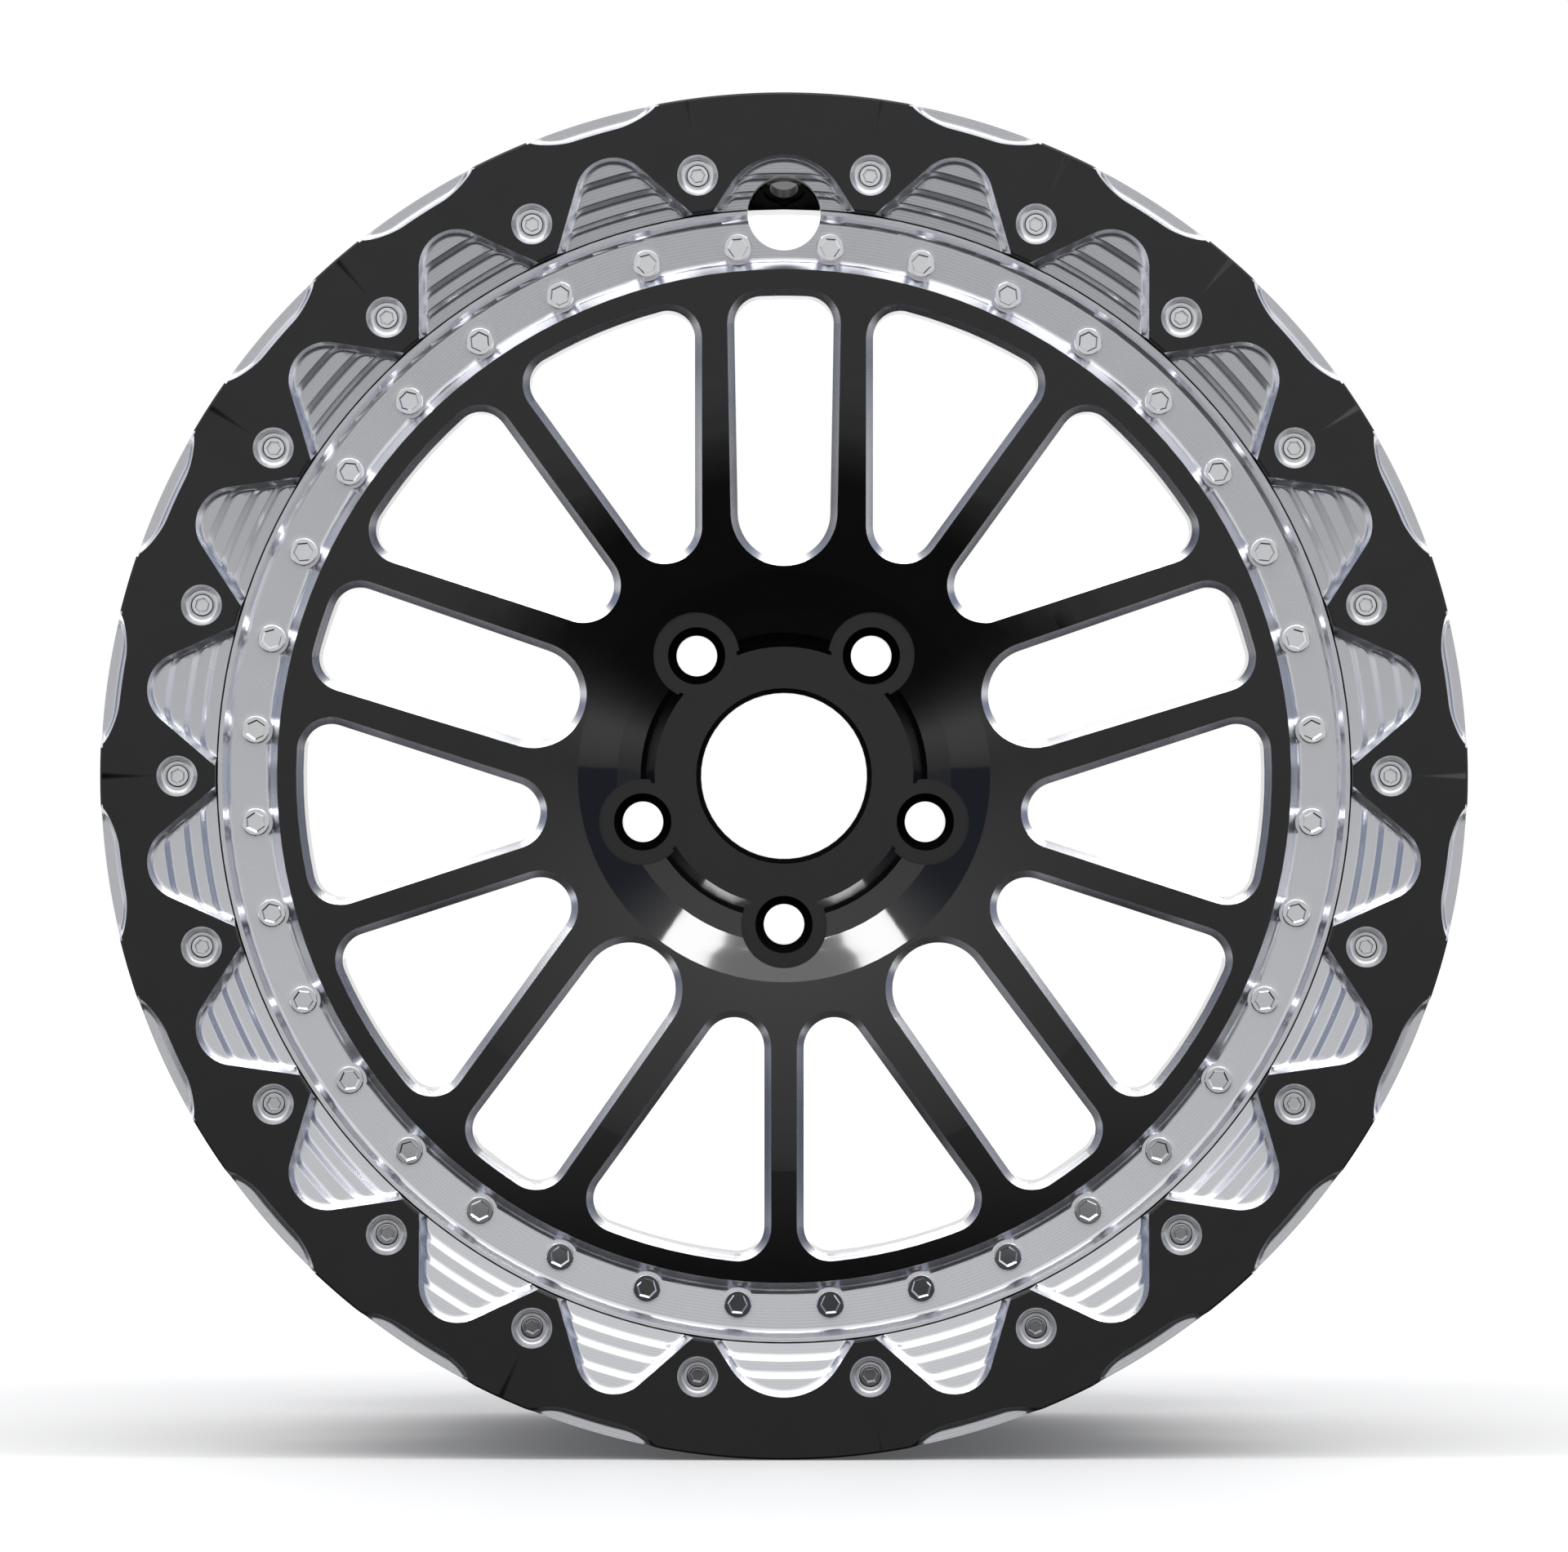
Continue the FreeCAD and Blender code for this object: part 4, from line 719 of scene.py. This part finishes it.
def textured(name, tone, spread, rough, rough_spread, scale, metallic):
    """A finish whose tone and roughness wander a little over the surface."""
    material = bpy.data.materials.new(name)
    material.use_nodes = True
    tree = material.node_tree
    shader = shader_of(material)
    noise = add_node(tree, "TexNoise")
    noise.inputs["Scale"].default_value = scale
    noise.inputs["Detail"].default_value = 4
    tree.links.new(add_node(tree, "TexCoord").outputs["Object"], noise.inputs["Vector"])
    dark, pale = (tuple(t * (1 + amount) for t in tone) + (1.0,) for amount in (-spread, spread))
    colour = ramp(tree, noise.outputs["Fac"], ((0.0, dark), (1.0, pale)))
    tree.links.new(colour, shader.inputs["Base Color"])
    roughness = span(tree, noise.outputs["Fac"], (0.0, 1.0), (rough - rough_spread, rough + rough_spread))
    tree.links.new(roughness, shader.inputs["Roughness"])
    shader.inputs["Metallic"].default_value = metallic
    return material


def turned_marks(material, spacing, strength, height, lean):
    """Fine rings round the wheel's axis, cut slightly conical, as the tool left them."""
    tree = material.node_tree
    place = add_node(tree, "TexCoord").outputs["Object"]
    wave = add_node(tree, "TexWave", wave_type="RINGS", rings_direction="Y")
    wave.inputs["Scale"].default_value = 1 / spacing
    wave.inputs["Distortion"].default_value = 0.4
    tree.links.new(place, wave.inputs["Vector"])
    marks = bump(tree, wave.outputs["Fac"], strength, height)
    parts = split(tree, place)
    flat = add_node(tree, "CombineXYZ")
    for axis in "XZ":
        tree.links.new(parts[axis], flat.inputs[axis])
    cone = bump(tree, length_of(tree, flat.outputs["Vector"]), 1.0, lean)
    tree.links.new(cone.outputs["Normal"], marks.inputs["Normal"])
    tree.links.new(marks.outputs["Normal"], shader_of(material).inputs["Normal"])


def black_coat():
    """The centre's and the barrel's glossy black."""
    material = textured("black_coat", (0.004, 0.004, 0.0042), spread=0.3, rough=0.07, rough_spread=0.02,
                        scale=90.0, metallic=0.0)
    shader_of(material).inputs["Coat Weight"].default_value = 0.2
    shader_of(material).inputs["Coat Roughness"].default_value = 0.04
    return material


def satin_coat():
    """The ring's duller black."""
    material = textured("satin_coat", (0.037, 0.037, 0.038), spread=0.08, rough=0.36, rough_spread=0.04,
                        scale=90.0, metallic=0.0)
    shader_of(material).inputs["Specular IOR Level"].default_value = 0.1
    return material


def milled_aluminium():
    """Bare metal with the tool's marks: channel, crescents, scallops and the windows' chamfers."""
    material = textured("milled_aluminium", (0.84, 0.85, 0.89), spread=0.03, rough=0.27, rough_spread=0.015,
                        scale=60.0, metallic=1.0)
    turned_marks(material, spacing=0.004, strength=0.05, height=0.0001, lean=0.08)
    return material


def recess_aluminium():
    """Brighter metal in the screw recesses."""
    return textured("recess_aluminium", (0.92, 0.925, 0.94), spread=0.04, rough=0.32, rough_spread=0.04,
                    scale=120.0, metallic=1.0)


def bright_steel(name, rough, rough_spread):
    """Screws, bolts and what goes with them."""
    return textured(name, (0.92, 0.925, 0.95), spread=0.04, rough=rough, rough_spread=rough_spread,
                    scale=120.0, metallic=1.0)


# Finishes on the CAD model's own pieces
def finish_node(name, materials, choose):
    """Gives each face of a CAD piece one of the finishes."""
    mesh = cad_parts[name].data
    mesh.materials.clear()
    for material in materials:
        mesh.materials.append(material)
    numbers = [choose(face.center * PER_METRE, face.normal) for face in mesh.polygons]
    mesh.polygons.foreach_set("material_index", numbers)


def centre_finish(place, normal):
    """1 in the bolt channel and on the windows' chamfers, otherwise 0."""
    radius = math.hypot(place.x, place.z)
    out = (normal.x * place.x + normal.z * place.z) / radius
    around = (normal.x * place.z - normal.z * place.x) / radius
    if radius > CHANNEL_START and place.y + FRONT < CHANNEL_BACK and normal.y < FACING:
        return 1
    leans = normal.y < -FACING and math.hypot(out, around) > CHAMFER_LEAN
    if leans and WINDOW_START < radius < WINDOW_END:
        if abs(around) > CHAMFER_SIDEWAYS or out > 0 or radius > WINDOW_HEAD:
            return 1
    return 0


def barrel_finish(place, normal):
    """1 on the wall of the valve hole, otherwise 0."""
    across = (place.y - VALVE_Y) * math.cos(VALVE_TILT) - (place.z - VALVE_Z) * math.sin(VALVE_TILT)
    return 1 if place.z > 0 and math.hypot(place.x, across) < VALVE_REACH else 0


def plain_finish(place, normal):
    return 0


# The studio
def floor_material():
    """A white sweep that keeps the shadow. Other rays meet a darker floor with a near-black patch in front:
    painted dark reflection and shade on the wheel.
    """
    material = textured("pale_floor", (0.75, 0.75, 0.75), spread=0.01, rough=0.6, rough_spread=0.05,
                        scale=3.0, metallic=0.0)
    tree = material.node_tree
    shader = shader_of(material)
    place = add_node(tree, "TexCoord").outputs["Object"]
    parts = split(tree, place)
    along = span(tree, parts["Y"], PAINTED_REFLECTION_SPAN)
    # Painted dark reflection: a near-black patch in front of the wheel, met only by rays that don't see the
    # backdrop
    painted_reflection = ramp(tree, along, [(position, grey(tone)) for position, tone in PAINTED_REFLECTION_TONES])
    border = span(tree, calculate(tree, "ABSOLUTE", parts["X"]), PAINTED_REFLECTION_BORDER, kind="SMOOTHSTEP")
    under = add_node(tree, "BsdfDiffuse")
    tree.links.new(blend(tree, border, painted_reflection, grey(BARE_FLOOR)), under.inputs["Color"])
    glow = span(tree, length_of(tree, place), SWEEP_SPAN, SWEEP_GLOW)
    shader.inputs["Emission Color"].default_value = WHITE
    tree.links.new(glow, shader.inputs["Emission Strength"])
    surface = tree.nodes["Material Output"].inputs["Surface"]
    factor = sees_backdrop(tree, parts["Y"])
    mix_shaders(tree, factor, under.outputs["BSDF"], shader.outputs["BSDF"], surface)
    return material


def build_floor():
    corners = ((-1, -1), (1, -1), (1, 1), (-1, 1))
    places = [(x * FLOOR_HALF_WIDTH, y * FLOOR_HALF_LENGTH, FLOOR_HEIGHT) for x, y in corners]
    mesh = bpy.data.meshes.new("floor")
    mesh.from_pydata(places, [], [(0, 1, 2, 3)])
    floor = bpy.data.objects.new("floor", mesh)
    bpy.context.scene.collection.objects.link(floor)
    mesh.materials.append(floor_material())


def light(name, place, size, power):
    """A rectangular lamp that looks at the wheel."""
    lamp = bpy.data.lights.new(name, "AREA")
    lamp.shape = "RECTANGLE"
    lamp.size, lamp.size_y = size
    lamp.energy = power
    item = bpy.data.objects.new(name, lamp)
    bpy.context.scene.collection.objects.link(item)
    item.location = place
    item.rotation_mode = "QUATERNION"
    item.rotation_quaternion = (Vector(LAMP_AIM) - Vector(place)).to_track_quat("-Z", "Y")


def build_world():
    """Soft light from above with bluish sides, before a white backdrop."""
    world = bpy.data.worlds.new("studio")
    bpy.context.scene.world = world
    world.use_nodes = True
    tree = world.node_tree
    sky = tree.nodes["Background"]
    parts = split(tree, add_node(tree, "TexCoord").outputs["Generated"])
    height = span(tree, parts["Z"], (-1.0, 1.0))
    tones = ramp(tree, height, [(position, grey(tone)) for position, tone in SKY_TONES])
    sides = span(tree, calculate(tree, "ABSOLUTE", parts["X"]), SKY_SIDES, kind="SMOOTHSTEP")
    tree.links.new(blend(tree, sides, tones, SIDE_TONE), sky.inputs["Color"])
    strength = span(tree, parts["Y"], BEHIND, SKY_STRENGTH, kind="SMOOTHSTEP")
    tree.links.new(strength, sky.inputs["Strength"])
    backdrop = add_node(tree, "Background")
    backdrop.inputs["Color"].default_value = WHITE
    surface = tree.nodes["World Output"].inputs["Surface"]
    factor = sees_backdrop(tree, parts["Y"])
    mix_shaders(tree, factor, sky.outputs["Background"], backdrop.outputs["Background"], surface)


def build_camera():
    """The photograph's view: straight on, from far away."""
    scene = bpy.context.scene
    scene.view_settings.view_transform = "Standard"
    data = bpy.data.cameras.new("camera")
    camera = bpy.data.objects.new("camera", data)
    scene.collection.objects.link(camera)
    camera.location = (0.0, -FRONT / PER_METRE - CAMERA_DISTANCE, 0.0)
    camera.rotation_euler = (math.radians(90), 0.0, 0.0)
    data.sensor_width = SENSOR_WIDTH
    data.lens = LENS
    data.clip_end = CLIP_END
    scene.camera = camera


black = black_coat()
satin = satin_coat()
milled = milled_aluminium()
steel = bright_steel("bolt_steel", rough=0.06, rough_spread=0.02)
screw = bright_steel("screw_steel", rough=0.14, rough_spread=0.03)

build_ring((satin, milled, recess_aluminium()))
screw_set("socket_bolts", "assembly_bolts", steel, BOLT_COUNT, BOLT_CIRCLE, BOLT_RINGS)
screw_set("clamp_screws", "beadlock_bolts", screw, SECTORS, SCREW_CIRCLE, SCREW_RINGS)

finish_node("center_disc", (black, milled), centre_finish)
finish_node("barrel", (black, satin), barrel_finish)
for name in ("beadlock_inserts", "assembly_washers", "assembly_nuts"):
    finish_node(name, (steel,), plain_finish)

build_floor()
light("overhead", place=(0.0, -0.7, 2.4), size=(3.6, 1.8), power=32)
for side in (-1, 1):
    light("strip", place=(side * 0.95, -0.45, 2.0), size=(0.22, 0.9), power=10)
build_world()
build_camera()
